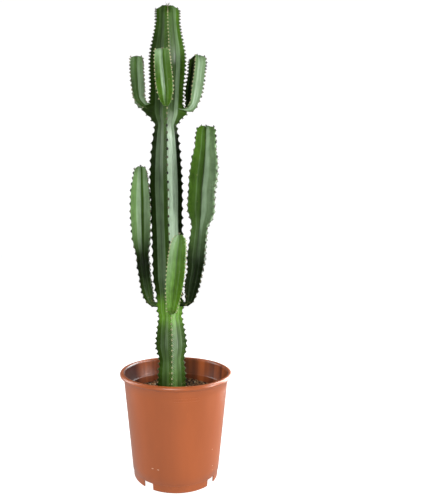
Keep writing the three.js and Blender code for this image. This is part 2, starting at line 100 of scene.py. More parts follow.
HABITS = {
    "main_stem": {
        "bearing": None,
        "turn": [(0, 2), (0.2, 4), (0.4, 7), (0.65, 6.5), (0.8, 4), (1, 2)],
        "shoulder": (0.652, 0.265),
        "hollow": 0.012,
        "groove": 0.05,
        "web": [(0.7, 0), (0.716, 3), (0.729, 13), (0.738, 15), (0.75, 0)],
        "crown": [(0.96, 1), (0.9726, 0.87), (0.98, 0.5), (0.987, 0.25), (1, 0.1)],
        "spacing": [
            (0, 10), (0.2, 10), (0.26, 14), (0.33, 16), (0.66, 15), (0.72, 8), (0.95, 6.5), (1, 4)],
        "youth": [
            (0, 0.45), (0.07, 0.45), (0.14, 0.25), (0.18, 0.35), (0.205, 0.9), (0.24, 0.95),
            (0.27, 0.2), (0.66, 0.1), (0.7, 0.3), (0.8, 0.35), (0.9, 0.42), (1, 0.6)],
        "thorns": [(0, 0.7), (0.2, 0.6), (0.28, 0.0), (0.68, 0.05), (0.75, 0.9), (1, 1)],
        "pale_ribs": (0,),
        "faces": {
            (3, 3): [(0, 0.5, 0), (0.15, 0.7, 0), (0.205, 1, 0), (0.24, 1, 0), (0.3, 0.35, 0),
                     (0.68, 0.35, 0), (0.75, 0.32, 0), (0.9, 0.32, 0), (1, 0.5, 0)],
            (3, 2): [(0, 0.8, 0.02), (0.15, 0.8, 0.05), (0.205, 1.2, 0), (0.24, 1.2, 0),
                     (0.3, 0.9, 0.1), (0.66, 0.9, 0.15), (0.72, 0.5, 0.03), (0.95, 0.42, 0.02)],
            (0, 1): [(0, 0.9, 0.02), (0.15, 0.9, 0.05), (0.205, 1.2, 0), (0.24, 1.2, 0),
                     (0.3, 0.9, 0.12), (0.66, 0.9, 0.16), (0.72, 0.5, 0.04), (0.95, 0.42, 0.02)],
            (0, 0): [(0, 1, 0), (0.15, 1, 0.02), (0.205, 1.25, 0), (0.24, 1.25, 0), (0.3, 1.1, 0),
                     (0.68, 1.1, 0.02), (0.76, 0.8, 0.02), (1, 0.75, 0)],
            (0, 3): [(0, 1.4, 0.03), (0.12, 1, 0.14), (0.205, 1.25, 0.04), (0.24, 1.25, 0.1),
                     (0.27, 1, 0.6), (0.33, 1, 0.82), (0.66, 1, 0.82), (0.69, 0.8, 0.3),
                     (0.73, 0.6, 0.04), (1, 0.75, 0.02)],
            (0, 2): [(0, 1.4, 0.02), (0.12, 1, 0.1), (0.205, 1.25, 0.02), (0.24, 1.25, 0.1),
                     (0.27, 1, 0.5), (0.33, 1, 0.85), (0.66, 1, 0.85), (0.69, 0.8, 0.25),
                     (0.73, 0.6, 0.03), (1, 0.65, 0.02)],
            (1, 1): [(0, 1.2, 0.02), (0.12, 0.9, 0.08), (0.205, 1.2, 0), (0.24, 1.2, 0.05),
                     (0.27, 1, 0.4), (0.33, 1, 0.62), (0.66, 1, 0.62), (0.69, 0.9, 0.3),
                     (0.73, 0.9, 0.3), (1, 0.85, 0.12)],
            (1, 0): [(0, 0.8, 0), (0.15, 0.8, 0.02), (0.205, 1, 0), (0.24, 1, 0), (0.3, 0.18, 0),
                     (0.66, 0.18, 0), (0.74, 1, 0), (1, 1, 0)],
        },
    },
    "lower_left_arm": {
        "bearing": (-1, 0, 0),
        "turn": [(0, 45), (1, 47)],
        "shoulder": (0.63, 0.31),
        "hollow": 0.014,
        "groove": 0.17,
        "spacing": [(0, 9), (0.4, 13.5), (0.85, 12), (1, 6)],
        "youth": [(0, 0.3), (0.12, 0.2), (0.35, 0.0), (0.5, 0.45), (0.7, 0.6), (1, 0.75)],
        "thorns": [(0, 0.1), (1, 0.15)],
        "faces": {
            (3, 3): [(0, 0.8, 0), (0.15, 0.8, 0), (0.25, 0.35, 0), (0.4, 0.4, 0),
                     (0.55, 1.35, 0.15), (0.85, 1.3, 0.18), (1, 1.1, 0.28)],
            (3, 2): [(0, 0.8, 0.06), (0.15, 0.8, 0.06), (0.25, 0.35, 0), (0.4, 0.4, 0.02),
                     (0.55, 1, 0.42), (0.9, 1, 0.55), (1, 1, 0.4)],
            (0, 1): [(0, 0.8, 0), (0.15, 0.8, 0), (0.25, 0.3, 0), (0.4, 0.3, 0), (0.55, 0.4, 0),
                     (1, 0.45, 0)],
            (0, 0): [(0, 0.8, 0.02), (0.15, 0.8, 0.02), (0.25, 0.3, 0), (0.4, 0.35, 0),
                     (0.55, 0.65, 0.12), (0.7, 0.75, 0.3), (1, 0.9, 0.28)],
        },
    },
    "lower_right_arm": {
        "bearing": (1, 0, 0),
        "turn": [(0, 45), (0.3, 38), (1, 38)],
        "shoulder": (0.63, 0.31),
        "hollow": 0.014,
        "groove": 0.16,
        "spacing": [(0, 9), (0.4, 13), (0.85, 13), (1, 6)],
        "youth": [
            (0, 0.1), (0.1, 0.0), (0.28, 0.0), (0.4, 0.3), (0.55, 0.4), (0.8, 0.45), (1, 0.7)],
        "thorns": [(0, 0.1), (1, 0.15)],
        "faces": {
            (1, 3): [(0, 0.6, 0), (0.25, 0.8, 0), (0.4, 0.9, 0.04), (0.55, 0.75, 0), (1, 1.1, 0)],
            (1, 2): [(0, 0.6, 0), (0.25, 0.8, 0), (0.4, 0.9, 0.06), (0.55, 0.6, 0), (1, 0.7, 0)],
            (2, 1): [(0, 0.5, 0), (0.25, 0.5, 0), (0.4, 0.7, 0.15), (0.5, 0.9, 0.48), (1, 1, 0.5)],
            (2, 0): [(0, 0.4, 0), (0.25, 0.4, 0), (0.4, 0.7, 0.08), (0.5, 0.8, 0.2),
                     (0.6, 0.9, 0.28), (0.9, 0.9, 0.22), (1, 0.9, 0.08)],
        },
    },
    "lower_front_arm": {
        "bearing": (0, -1, 0),
        "lift": 8,
        "aside": -2,
        "turn": [(0, 45), (0.4, 42), (1, 42)],
        "shoulder": (0.63, 0.3),
        "hollow": 0.014,
        "groove": 0.12,
        "spacing": [(0, 6), (0.5, 8), (1, 4.5)],
        "youth": [(0, 1), (0.5, 1), (1, 1)],
        "thorns": [(0, 0.85), (1, 1)],
        "faces": {
            (2, 3): [(0, 1.3, 0), (0.5, 1, 0.2), (1, 1, 0.55)],
            (2, 2): [(0, 1.3, 0), (0.5, 0.95, 0.06), (1, 0.9, 0.25)],
            (3, 1): [(0, 1.3, 0), (0.5, 0.62, 0), (1, 0.65, 0.03)],
            (3, 0): [(0, 1.3, 0), (0.5, 0.68, 0), (1, 0.75, 0.05)],
        },
    },
    "upper_left_arm": {
        "bearing": (-1, 0, 0),
        "turn": [(0, 45), (1, 46)],
        "shoulder": (0.63, 0.29),
        "hollow": 0.014,
        "groove": 0.15,
        "spacing": [(0, 7), (0.5, 8.5), (1, 4.5)],
        "youth": [(0, 0.4), (0.5, 0.35), (1, 0.6)],
        "thorns": [(0, 0.3), (1, 0.4)],
        "faces": {
            (3, 3): [(0, 0.6, 0), (0.5, 0.85, 0.08), (0.85, 0.85, 0.16), (1, 0.9, 0.22)],
            (3, 2): [(0, 0.6, 0), (0.5, 0.8, 0.04), (1, 0.9, 0.06)],
            (0, 1): [(0, 0.8, 0.1), (0.25, 0.9, 0.35), (0.8, 0.9, 0.3), (1, 0.9, 0.2)],
            (0, 0): [(0, 0.7, 0.05), (0.25, 0.9, 0.3), (0.8, 0.9, 0.24), (1, 0.9, 0.2)],
        },
    },
    "upper_right_arm": {
        "bearing": (1, 0, 0),
        "turn": [(0, -15), (1, -15)],
        "shoulder": (0.63, 0.25),
        "hollow": 0.014,
        "groove": 0.1,
        "spacing": [(0, 7), (0.5, 8.5), (1, 4.5)],
        "youth": [(0, 0.6), (0.5, 0.5), (1, 0.6)],
        "thorns": [(0, 0.6), (1, 0.8)],
        "pale_ribs": (2,),
        "faces": {
            (2, 0): [(0, 0.3, 0), (0.3, 0.08, 0), (0.8, 0.08, 0), (1, 0.3, 0)],
            (2, 1): [(0, 0.2, 0), (0.3, 0.05, 0), (0.8, 0.05, 0), (1, 0.2, 0)],
            (1, 3): [(0, 0.3, 0), (0.3, 0.08, 0), (1, 0.3, 0)],
            (1, 2): [(0, 0.2, 0), (0.3, 0.05, 0), (0.8, 0.05, 0), (1, 0.2, 0)],
            (2, 3): [(0, 1, 0.1), (0.3, 1, 0.25), (0.8, 1, 0.25), (1, 1, 0.15)],
            (2, 2): [(0, 1, 0.3), (0.3, 1, 0.78), (0.8, 1, 0.68), (1, 1, 0.3)],
            (3, 1): [(0, 1, 0.3), (0.3, 1, 0.7), (0.8, 1, 0.5), (1, 1, 0.3)],
            (3, 0): [(0, 1, 0.1), (0.3, 1, 0.4), (1, 1, 0.3)],
        },
    },
    "upper_front_arm": {
        "bearing": (0, -1, 0),
        "lift": 14,
        "aside": 5,
        "turn": [(0, 45), (1, 45)],
        "shoulder": (0.63, 0.2),
        "hollow": 0.014,
        "groove": 0.18,
        "spacing": [(0, 6), (0.5, 7.5), (1, 4.5)],
        "youth": [(0, 0.75), (0.5, 0.75), (1, 0.9)],
        "thorns": [(0, 0.8), (1, 1)],
        "faces": {
            (2, 3): [(0, 1, 0), (0.45, 0.78, 0), (0.7, 0.85, 0.12), (1, 1, 0.5)],
            (2, 2): [(0, 1, 0), (0.2, 1, 0.2), (0.35, 1, 0.65), (1, 1, 0.55)],
            (3, 1): [(0, 1, 0), (0.3, 0.65, 0), (1, 0.65, 0)],
            (3, 0): [(0, 1.05, 0), (0.3, 0.85, 0), (0.7, 0.8, 0.02), (1, 0.85, 0.15)],
        },
    },
}

TRACE_STEP = 3.0 * MM        # between the sections that are measured on a frame node
TRACE_WINDOW = (1.6, 4 * MM)  # a section's points lie within this many rib radii and this much more
TRACE_LIMIT = 0.2            # metres from its tip at which tracing an arm stops in any case
TRACE_EASE = 0.2             # how fast the sections turn back into the plane that an arm grows in
UPRIGHT = 0.8                # rise per length from which a front arm counts as upright
TIP_LENGTH = 12 * MM         # the blunt end of a stem, which is measured and drawn more finely
TIP_STEP = 0.9 * MM
TIP_TRIM = 2.5 * MM          # the point of a stem that is left off, so that it ends blunt
CLEFT_LENGTH = 16 * MM       # how far below a tip the valleys start to deepen into clefts
CLEFT_DEPTH = 0.3            # how much deeper they are at the tip, as a share of the rib radius
SHOULDER_LENGTH = 7 * MM     # how far below a tip the crests start to round over
SHOULDER_ROUND = 0.3         # how far they come in at the tip, as a share of the rib radius
BURIED = 12.0 * MM           # how far the visible main stem reaches below the soil
RIGHT_WEB = 0.75             # how far the right web reaches, as a share of the left one
ROOT_REACH = 13.0 * MM       # how far an arm's root reaches back into the stem that bears it
ROOT_FLARE = 1.55            # how much wider an arm's root is inside that stem
# Root of a front arm, from its lower end up: (back, down) in millimetres from where the arm
# stands upright, and its girth there as shares of the girth where it stands upright.
SUNK_ROOT = [(17, 15), (14, 11), (9, 7), (4, 3)]
SUNK_NECK = [0.3, 0.5, 0.75, 0.92]
ASIDE_LENGTH = 60 * MM       # over which a root's shift aside fades out up the arm

FULL_RADIUS = 16 * MM        # rib radius from which teeth and spines have their full size
TOOTH_MIDDLE = 0.55          # share of a tooth that lies inside the rib's own outline
TOOTH_SEAT = 0.45            # share of a tooth that the spines stand out on
TOOTH_SHARPNESS = 1.3
TOOTH_WIDENING = 0.35 * MM   # how much thicker a crest is at a tooth
TOOTH_REACH = 2.2            # a tooth ends 1 / this of the way down to the valley
STRAY = 1.6 * MM             # how far a crest strays to its sides
STRAY_RATE = 14              # strays per metre of stem
SWELL = 0.9 * MM             # how far a rib swells and shrinks
SWELL_RATE = 22              # swells per metre of stem

SHIELD = (3.1 * MM, 0.62, 0.75 * MM)   # half length, width as a share of it, half thickness
NEW_SHIELD_LESS = 1.7 * MM   # how much shorter the half length is under this year's spines
SHIELD_SINK = 0.25 * MM
DARK_RIB = 0.15              # how much of their youth the spines of a dark rib show
NEW_SPINE_LESS = 0.35        # how much shorter this year's spines are
SPINE_LENGTHS = (0.7, 1.2)   # shortest and longest, as shares of the length in the settings
SPINE_SPREAD = (0.55, 0.95)  # how far a spine leans to its side
SPINE_DROOP = (0.0, 0.35)    # how far it leans back down the stem
CROWN_SPINES = 7             # new spines round a growing tip
CROWN_LENGTHS = (2.4 * MM, 4.4 * MM)
CROWN_SPREAD = 0.55          # how far they lean out
LEADER_SPINES = 2.4          # how much longer they are on the main stem


def linear(code):
    """A colour written as sRGB hex, as linear red, green and blue."""
    values = [int(code[i:i + 2], 16) / 255 for i in (1, 3, 5)]
    return tuple(v / 12.92 if v <= 0.04045 else ((v + 0.055) / 1.055) ** 2.4 for v in values)


def along(points, share, column=1):
    """Value in one column of a list of (position, value, ...), straight between its points."""
    if share <= points[0][0]:
        return points[0][column]
    for before, after in zip(points, points[1:]):
        if share <= after[0]:
            part = (share - before[0]) / (after[0] - before[0])
            return before[column] + (after[column] - before[column]) * part
    return points[-1][column]


# ---------------------------------------------------------------------- settings

class PlantSettings(bpy.types.PropertyGroup):
    """Sizes and colours of the stems and their spines."""
    ring_step: FloatProperty(
        name="Ring Step", description="Distance between rings of points along a stem",
        default=1.8 * MM, unit="LENGTH")
    tooth_height: FloatProperty(
        name="Tooth Height", description="How far the crest stands out at a pair of spines",
        default=2.0 * MM, unit="LENGTH")
    spine_length: FloatProperty(
        name="Spine Length", description="Length of a spine on a full-grown rib",
        default=2.9 * MM, unit="LENGTH")
    spine_width: FloatProperty(
        name="Spine Width", description="Thickness of a spine at its base",
        default=1.5 * MM, unit="LENGTH")
    old_skin: FloatVectorProperty(
        name="Old Skin", description="Flank colour of old growth",
        default=linear("#1d2e0b"), subtype="COLOR")
    young_skin: FloatVectorProperty(
        name="Young Skin", description="Flank colour of this year's growth",
        default=linear("#557f22"), subtype="COLOR")
    old_spine: FloatVectorProperty(
        name="Old Spine", description="Colour of dry spines",
        default=linear("#0c0805"), subtype="COLOR")
    young_spine: FloatVectorProperty(
        name="Young Spine", description="Colour of this year's spines",
        default=linear("#c4bd93"), subtype="COLOR")


class PotSettings(bpy.types.PropertyGroup):
    """Sizes and colour of the pot. Its rim and height come from the frame."""
    steps: IntProperty(
        name="Steps", description="Flat sides round the pot", default=160, min=32)
    roll: FloatProperty(
        name="Rim Roll", description="Thickness of the rolled rim", default=8.4 * MM, unit="LENGTH")
    overhang: FloatProperty(
        name="Rim Overhang", description="How far the rim stands out beyond the wall",
        default=7.4 * MM, unit="LENGTH")
    foot_radius: FloatProperty(
        name="Foot Radius", description="Outside of the wall just above the foot",
        default=80.2 * MM, unit="LENGTH")
    foot_height: FloatProperty(
        name="Foot Height", description="Height of the foot ring", default=13 * MM, unit="LENGTH")
    wall: FloatProperty(
        name="Wall", description="Wall thickness below the ledge", default=1.9 * MM, unit="LENGTH")
    upper_wall: FloatProperty(
        name="Upper Wall", description="Wall thickness above the ledge",
        default=1.4 * MM, unit="LENGTH")
    ledge: FloatProperty(
        name="Ledge", description="Rim top down to the stacking ledge", default=32 * MM,
        unit="LENGTH")
    colour: FloatVectorProperty(
        name="Colour", description="Colour of the plastic", default=linear("#ae5a2c"),
        subtype="COLOR")


class SoilSettings(bpy.types.PropertyGroup):
    """The potting mix and what lies on it."""
    unevenness: FloatProperty(
        name="Unevenness", description="How far the surface rises and dips",
        default=2.6 * MM, unit="LENGTH")
    crumbs: IntProperty(name="Crumbs", description="Number of loose crumbs", default=700, min=0)
    perlite: IntProperty(name="Perlite", description="Number of pale grains", default=260, min=0)
    fibres: IntProperty(name="Fibres", description="Number of loose fibres", default=110, min=0)
    colour: FloatVectorProperty(
        name="Colour", description="Colour of damp potting mix", default=linear("#44342a"),
        subtype="COLOR")


class StageSettings(bpy.types.PropertyGroup):
    """Camera and light."""
    eye_height: FloatProperty(
        name="Eye Height", description="Height of the camera", default=0.4172, unit="LENGTH")
    eye_distance: FloatProperty(
        name="Eye Distance", description="Camera to the pot's axis", default=0.82, unit="LENGTH")
    lens: FloatProperty(
        name="Lens", description="Focal length in millimetres", default=31.48, unit="CAMERA")
    right_light: FloatProperty(
        name="Right Softbox", description="Power of the softbox behind the right side",
        default=50, unit="POWER")
    left_light: FloatProperty(
        name="Left Softbox", description="Power of the softbox on the left side",
        default=17, unit="POWER")
    key_light: FloatProperty(
        name="Right Key", description="Power of the main soft light, in front on the right",
        default=19, unit="POWER")
    fill_light: FloatProperty(
        name="Front Fill", description="Power of the soft light in front", default=33,
        unit="POWER")


# ---------------------------------------------------------------- mesh helpers

def new_piece(name, bm, finish, smooth_angle=None):
    """A mesh object of this name from a bmesh, with one material, riding on the frame."""
    mesh = bpy.data.meshes.new(name)
    bm.to_mesh(mesh)
    bm.free()
    mesh.polygons.foreach_set("use_smooth", [True] * len(mesh.polygons))
    if smooth_angle is not None:
        mesh.set_sharp_from_angle(angle=smooth_angle)
    mesh.materials.append(finish)
    piece = bpy.data.objects.new(name, mesh)
    bpy.context.scene.collection.objects.link(piece)
    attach(piece, "root")
    return piece


def place(axis, heading):
    """Turns a point's local axes so that Z follows heading and X lies along axis."""
    z = heading.normalized()
    x = (axis - z * axis.dot(z)).normalized()
    return Matrix((x, z.cross(x), z)).transposed()


def merged_copy(node):
    """The frame node's mesh as a bmesh with its shared points merged."""
    bm = bmesh.new()
    bm.from_mesh(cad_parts[node].data)
    bmesh.ops.remove_doubles(bm, verts=bm.verts[:], dist=0.01 * MM)
    return bm


def section(solid, point, heading):
    """The points where a plane through point, square to heading, cuts a bmesh."""
    bm = solid.copy()
    cut = bmesh.ops.bisect_plane(
        bm, geom=bm.verts[:] + bm.edges[:] + bm.faces[:],
        plane_co=point, plane_no=heading, clear_inner=True, clear_outer=True)
    points = [v.co.copy() for v in cut["geom_cut"] if isinstance(v, bmesh.types.BMVert)]
    bm.free()
    return points


def stations(length, step):
    """Distances along a stem, a step apart, and closer together over its blunt tip."""
    plain = length - TIP_LENGTH
    count = round(plain / step)
    fine = round(TIP_LENGTH / TIP_STEP)
    return ([plain * i / count for i in range(count)]
            + [plain + TIP_LENGTH * i / fine for i in range(fine + 1)])


def smoothed(values, passes):
    """A list of numbers or vectors, evened out between its fixed ends."""
    for _ in range(passes):
        middle = [(a + b * 2 + c) / 4 for a, b, c in zip(values, values[1:], values[2:])]
        values = [values[0], *middle, values[-1]]
    return values


# ----------------------------------------------------------------------- stems

class Stem:
    """The middle line and girth of one stem, measured on its frame node, and its spine places."""

    def __init__(self, name):
        self.name = name
        self.habit = HABITS[name]
        self.bearing = self.habit["bearing"]
        if self.bearing is None:
            self.first = FRONT
            centres, radii = self.trace_main()
        else:
            self.first = UP.cross(Vector(self.bearing))
            centres, radii = self.trace_arm()
        blunt = round(TIP_LENGTH / TIP_STEP)
        self.centres = smoothed(centres, 3)
        self.radii = smoothed(radii[:-blunt], 2) + radii[-blunt:]
        self.distances = [0.0]
        for a, b in zip(self.centres, self.centres[1:]):
            self.distances.append(self.distances[-1] + (b - a).length)
        self.length = self.distances[-1] - TIP_TRIM
        self.phase = random.Random(name).uniform(0, 50)
        self.teeth = [self.spine_places(rib) for rib in range(RIBS)]

    def trace_main(self):
        """No arm grows from the back rib, so that rib gives the middle line and the girth."""
        solid = merged_copy(self.name)
        bottom = BOX["soil"][1].z - BURIED
        top = BOX[self.name][1].z
        centres, radii = [], []
        for distance in stations(top - bottom, TRACE_STEP):
            z = min(bottom + distance, top - HAIR)
            points = section(solid, Vector((0, 0, z)), UP)
            radius = max(p.y for p in points)
            edge = [p.x for p in points if p.y > radius - 4 * HAIR]
            centres.append(Vector(((min(edge) + max(edge)) / 2, 0, z)))
            radii.append(radius)
        solid.free()
        return centres, radii

    def trace_arm(self):
        """Sections are taken from the tip back to the root, each square to the line so far."""
        solid = merged_copy(self.name)
        high = BOX[self.name][1]
        outwards = Vector(self.bearing)
        tip = [v.co for v in solid.verts if v.co.z > high.z - 24 * HAIR]
        point = sum(tip, Vector()) / len(tip)
        point.z = high.z - 6 * HAIR
        heading = UP.copy()
        centres, radii = [], []
        while True:
            points = section(solid, point, heading)
            if centres:
                reach = TRACE_WINDOW[0] * radii[-1] + TRACE_WINDOW[1]
                points = [p for p in points if (p - point).length < reach]
            if len(points) < RIBS:
                break
            third = heading.cross(self.first)
            centre = point.copy()
            for axis in (self.first, third):
                spread = [(p - point).dot(axis) for p in points]
                centre += axis * (min(spread) + max(spread)) / 2
            if centres and (centre - centres[-1]).length < 0.3 * TIP_STEP:
                break
            centres.append(centre)
            radii.append(max((p - centre).length for p in points))
            if len(centres) > 2:
                back = (centres[-3] - centres[-1]).normalized()
                heading = (heading + back).normalized()
                aslant = self.first * heading.dot(self.first)
                heading = (heading - aslant * TRACE_EASE).normalized()
            blunt = len(centres) < TIP_LENGTH / TIP_STEP
            point = centre - heading * (TIP_STEP if blunt else TRACE_STEP)
            if (centres[0] - point).dot(outwards) > TRACE_LIMIT:
                break
        solid.free()
        centres.reverse()
        radii.reverse()
        if outwards.y:
            # A front arm grows straight out of the crest below it, so its root follows that crest.
            while (centres[2] - centres[0]).normalized().z < UPRIGHT:
                centres.pop(0)
                radii.pop(0)
            start = centres[0].z + self.habit["lift"] * MM
            while centres[0].z < start:
                centres.pop(0)
                radii.pop(0)
            for centre in centres:
                share = max(0.0, 1 - (centre.z - start) / ASIDE_LENGTH)
                centre.x += self.habit["aside"] * MM * share
            root = [centres[0] - outwards * back * MM - UP * down * MM
                    for back, down in SUNK_ROOT]
            neck = [radii[0] * share for share in SUNK_NECK]
            return root + centres, neck + radii
        inwards = (centres[0] - centres[2]).normalized()
        inwards = (inwards - UP * inwards.z).normalized()
        root = [centres[0] + inwards * ROOT_REACH * share for share in (1, 0.75, 0.4)]
        neck = [radii[0] * share for share in (0.7, ROOT_FLARE, (ROOT_FLARE + 1) / 2)]
        return root + centres, neck + radii

    def at(self, distance):
        """Middle point, heading and rib radius at a distance from the root."""
        for i, end in enumerate(self.distances[1:]):
            if distance <= end or i == len(self.distances) - 2:
                start = self.distances[i]
                share = min(1.0, (distance - start) / (end - start))
                centre = self.centres[i].lerp(self.centres[i + 1], share)
                radius = self.radii[i] + (self.radii[i + 1] - self.radii[i]) * share
                before = self.centres[max(0, i - 1)]
                after = self.centres[min(len(self.centres) - 1, i + 2)]
                return centre, (after - before).normalized(), radius

    def look(self, key, distance):
        """A value of the growth habit at a distance from the root."""
        return along(self.habit[key], distance / self.length)

    def face(self, rib, face, distance):
        """Tone, painted light and shade, and wax with painted sheen of a face at a distance."""
        points = self.habit["faces"].get((rib, face), PLAIN_FACE)
        return [along(points, distance / self.length, column) for column in (1, 2)]

    def web(self, rib, distance):
        """How far a rib reaches out beyond its girth at a distance from the root."""
        if "web" not in self.habit or rib not in (1, 3):
            return 0.0
        return self.look("web", distance) * MM * (1.0 if rib == 3 else RIGHT_WEB)

    def crest_share(self, rib, distance):
        """How much of its girth a crest keeps near the tip."""
        rounding = max(0.0, 1 - (self.length - distance) / SHOULDER_LENGTH)
        share = 1 - SHOULDER_ROUND * rounding ** 2
        if rib == 0 and "crown" in self.habit:
            share = min(share, self.look("crown", distance))
        return share

    def stray(self, rib, distance):
        """How far a crest strays to its side at a distance from the root."""
        return noise.noise(Vector((self.phase, rib * 7.1, distance * STRAY_RATE))) * STRAY

    def swell(self, rib, distance):
        """How far a rib swells at a distance from the root."""
        return noise.noise(Vector((rib * 5.3, self.phase, distance * SWELL_RATE))) * SWELL

    def spine_places(self, rib):
        """Distances from the root of the pairs of spines on one crest."""
        dice = random.Random(f"{self.name} {rib}")
        distance = self.look("spacing", 0) * MM * dice.uniform(0.2, 1)
        places = []
        while distance < self.length - MM:
            places.append(distance)
            distance += self.look("spacing", distance) * MM * dice.uniform(0.88, 1.12)
        return places

    def tooth(self, rib, distance):
        """1 at a pair of spines and 0 between two pairs."""
        places = self.teeth[rib]
        for low, high in zip(places, places[1:]):
            if low <= distance < high:
                phase = (distance - low) / (high - low)
                return (0.5 + 0.5 * math.cos(2 * math.pi * phase)) ** TOOTH_SHARPNESS
        return 0.0


STEMS = {}


def stem(name):
    """The measured stem of this name."""
    if name not in STEMS:
        STEMS[name] = Stem(name)
    return STEMS[name]


def half_rib(habit, cleft=0.0):
    """Points of half a rib from its crest to the valley: (share of the way, along, across)."""
    points = list(CREST)
    out, away = habit["shoulder"]
    edge = Vector(CREST[-1])
    fold = Vector(((out + away) / math.sqrt(2), (out - away) / math.sqrt(2)))
    inwards = Vector((edge.y - fold.y, fold.x - edge.x)).normalized()
    for step in range(1, FLANK_STEPS):
        share = step / FLANK_STEPS
        point = edge.lerp(fold, share) + inwards * habit["hollow"] * 4 * share * (1 - share)
        points.append(tuple(point))
    for step in range(VALLEY_STEPS):
        share = step / (VALLEY_STEPS - 1)
        depth = out - (habit["groove"] + cleft) * share ** 1.2
        aside = away * (1 - share)
        points.append(((depth + aside) / math.sqrt(2), (depth - aside) / math.sqrt(2)))
    lengths = [0.0]
    for (x0, y0), (x1, y1) in zip(points, points[1:]):
        lengths.append(lengths[-1] + math.hypot(x1 - x0, y1 - y0))
    return [(d / lengths[-1], x, y) for d, (x, y) in zip(lengths, points)]


def ring_plan(habit, cleft=0.0):
    """Every point of a ring: (rib, share of the way to the valley, along, across)."""
    half = half_rib(habit, cleft)
    plan = []
    for rib in range(RIBS):
        plan += [(rib, share, x, -y) for share, x, y in reversed(half[1:-1])]
        plan += [(rib, share, x, y) for share, x, y in half]
    return plan


def fullness(radius):
    """How large teeth and spines are on a stem of this rib radius, as a share of their full size."""
    return min(1.0, radius / FULL_RADIUS)


def shape_ring(grown, distance, ring, slot, layers, settings):
    """Puts the points of one ring in place round the stem and writes what its skin is like."""
    centre, heading, radius = grown.at(distance)
    frame_here = place(grown.first, heading)
    turn = math.radians(grown.look("turn", distance))
    youth = grown.look("youth", distance)
    full = fullness(radius)
    closing = max(0.0, 1 - (grown.length - distance) / CLEFT_LENGTH)
    plan = ring_plan(grown.habit, CLEFT_DEPTH * closing ** 2)
    teeth = [grown.tooth(rib, distance) for rib in range(RIBS)]
    crests = [grown.crest_share(rib, distance) for rib in range(RIBS)]
    strays = [grown.stray(rib, distance) for rib in range(RIBS)]
    swells = [grown.swell(rib, distance) for rib in range(RIBS)]
    webs = [grown.web(rib, distance) for rib in range(RIBS)]
    faces = {(rib, face): grown.face(rib, face, distance)
             for rib in range(RIBS) for face in range(4)}
    for vert in ring:
        rib, share, x, y = plan[vert[slot]]
        rest = 1 - share
        near_crest = max(0.0, 1 - share * TOOTH_REACH)
        x *= radius * (1 - rest * (1 - crests[rib]))
        x += (teeth[rib] - TOOTH_MIDDLE) * settings.tooth_height * full * near_crest
        x += swells[rib] * full * rest
        x += webs[rib] * max(0.0, 1 - share / SHOULDER_SHARE)
        y = y * radius + strays[rib] * full * rest ** 0.7
        if share:
            y += math.copysign(teeth[rib] * TOOTH_WIDENING * near_crest * full, y)
        angle = turn + rib * 2 * math.pi / RIBS
        point = Vector((
            x * math.cos(angle) - y * math.sin(angle),
            x * math.sin(angle) + y * math.cos(angle), 0))
        vert.co = centre + frame_here @ point
        vert[layers["across"]] = share
        vert[layers["rise"]] = distance
        vert[layers["youth"]] = youth
        flank = share < SHOULDER_SHARE
        face = (0 if flank else 1) if y < 0 else (3 if flank else 2)
        # Tone is painted light and shade; the second value mixes in wax and painted sheen.
        vert[layers["tone"]], vert[layers["bloom"]] = faces[rib, face]


def skin_mesh(grown, settings):
    """The skin of one stem: a ring of points drawn out along the stem, a ring at a time."""
    bm = bmesh.new()
    slot = bm.verts.layers.int.new("slot")
    layers = {key: bm.verts.layers.float.new(key)
              for key in ("across", "rise", "youth", "tone", "bloom")}
    ring = bmesh.ops.create_circle(
        bm, segments=len(ring_plan(grown.habit)), radius=1.0)["verts"]
    for i, vert in enumerate(ring):
        vert[slot] = i
    edges = bm.edges[:]
    for number, distance in enumerate(stations(grown.length, settings.ring_step)):
        if number:
            drawn = bmesh.ops.extrude_edge_only(bm, edges=edges)["geom"]
            ring = [g for g in drawn if isinstance(g, bmesh.types.BMVert)]
            edges = [g for g in drawn if isinstance(g, bmesh.types.BMEdge)]
        shape_ring(grown, distance, ring, slot, layers, settings)
    for end in (edges, [e for e in bm.edges if e.is_boundary and e not in edges]):
        cap = bmesh.ops.edgeloop_fill(bm, edges=end)["faces"]
        bmesh.ops.poke(bm, faces=cap)
    bmesh.ops.recalc_face_normals(bm, faces=bm.faces[:])
    bm.verts.layers.int.remove(slot)
    return bm


def crest_point(grown, rib, distance, settings):
    """Place, outward way, sideways way, heading and fullness at a pair of spines on a crest."""
    centre, heading, radius = grown.at(distance)
    frame_here = place(grown.first, heading)
    angle = math.radians(grown.look("turn", distance)) + rib * 2 * math.pi / RIBS
    outwards = frame_here @ Vector((math.cos(angle), math.sin(angle), 0))
    sideways = heading.cross(outwards)
    full = fullness(radius)
    reach = radius * grown.crest_share(rib, distance) + grown.web(rib, distance)
    reach += TOOTH_SEAT * settings.tooth_height * full
    point = centre + outwards * reach + sideways * grown.stray(rib, distance) * full
    return point, outwards, sideways, heading, full


def add_spine(bm, youth_layer, base, way, length, width, youth):
    """One spine: a slim five-sided cone with its broad end sunk into the crest."""
    turned = way.to_track_quat("Z", "Y").to_matrix().to_4x4()
    made = bmesh.ops.create_cone(
        bm, cap_ends=True, segments=5, radius1=width / 2, radius2=width / 12, depth=length,
        matrix=Matrix.Translation(base + way * length * 0.42) @ turned)
    for vert in made["verts"]:
        vert[youth_layer] = youth


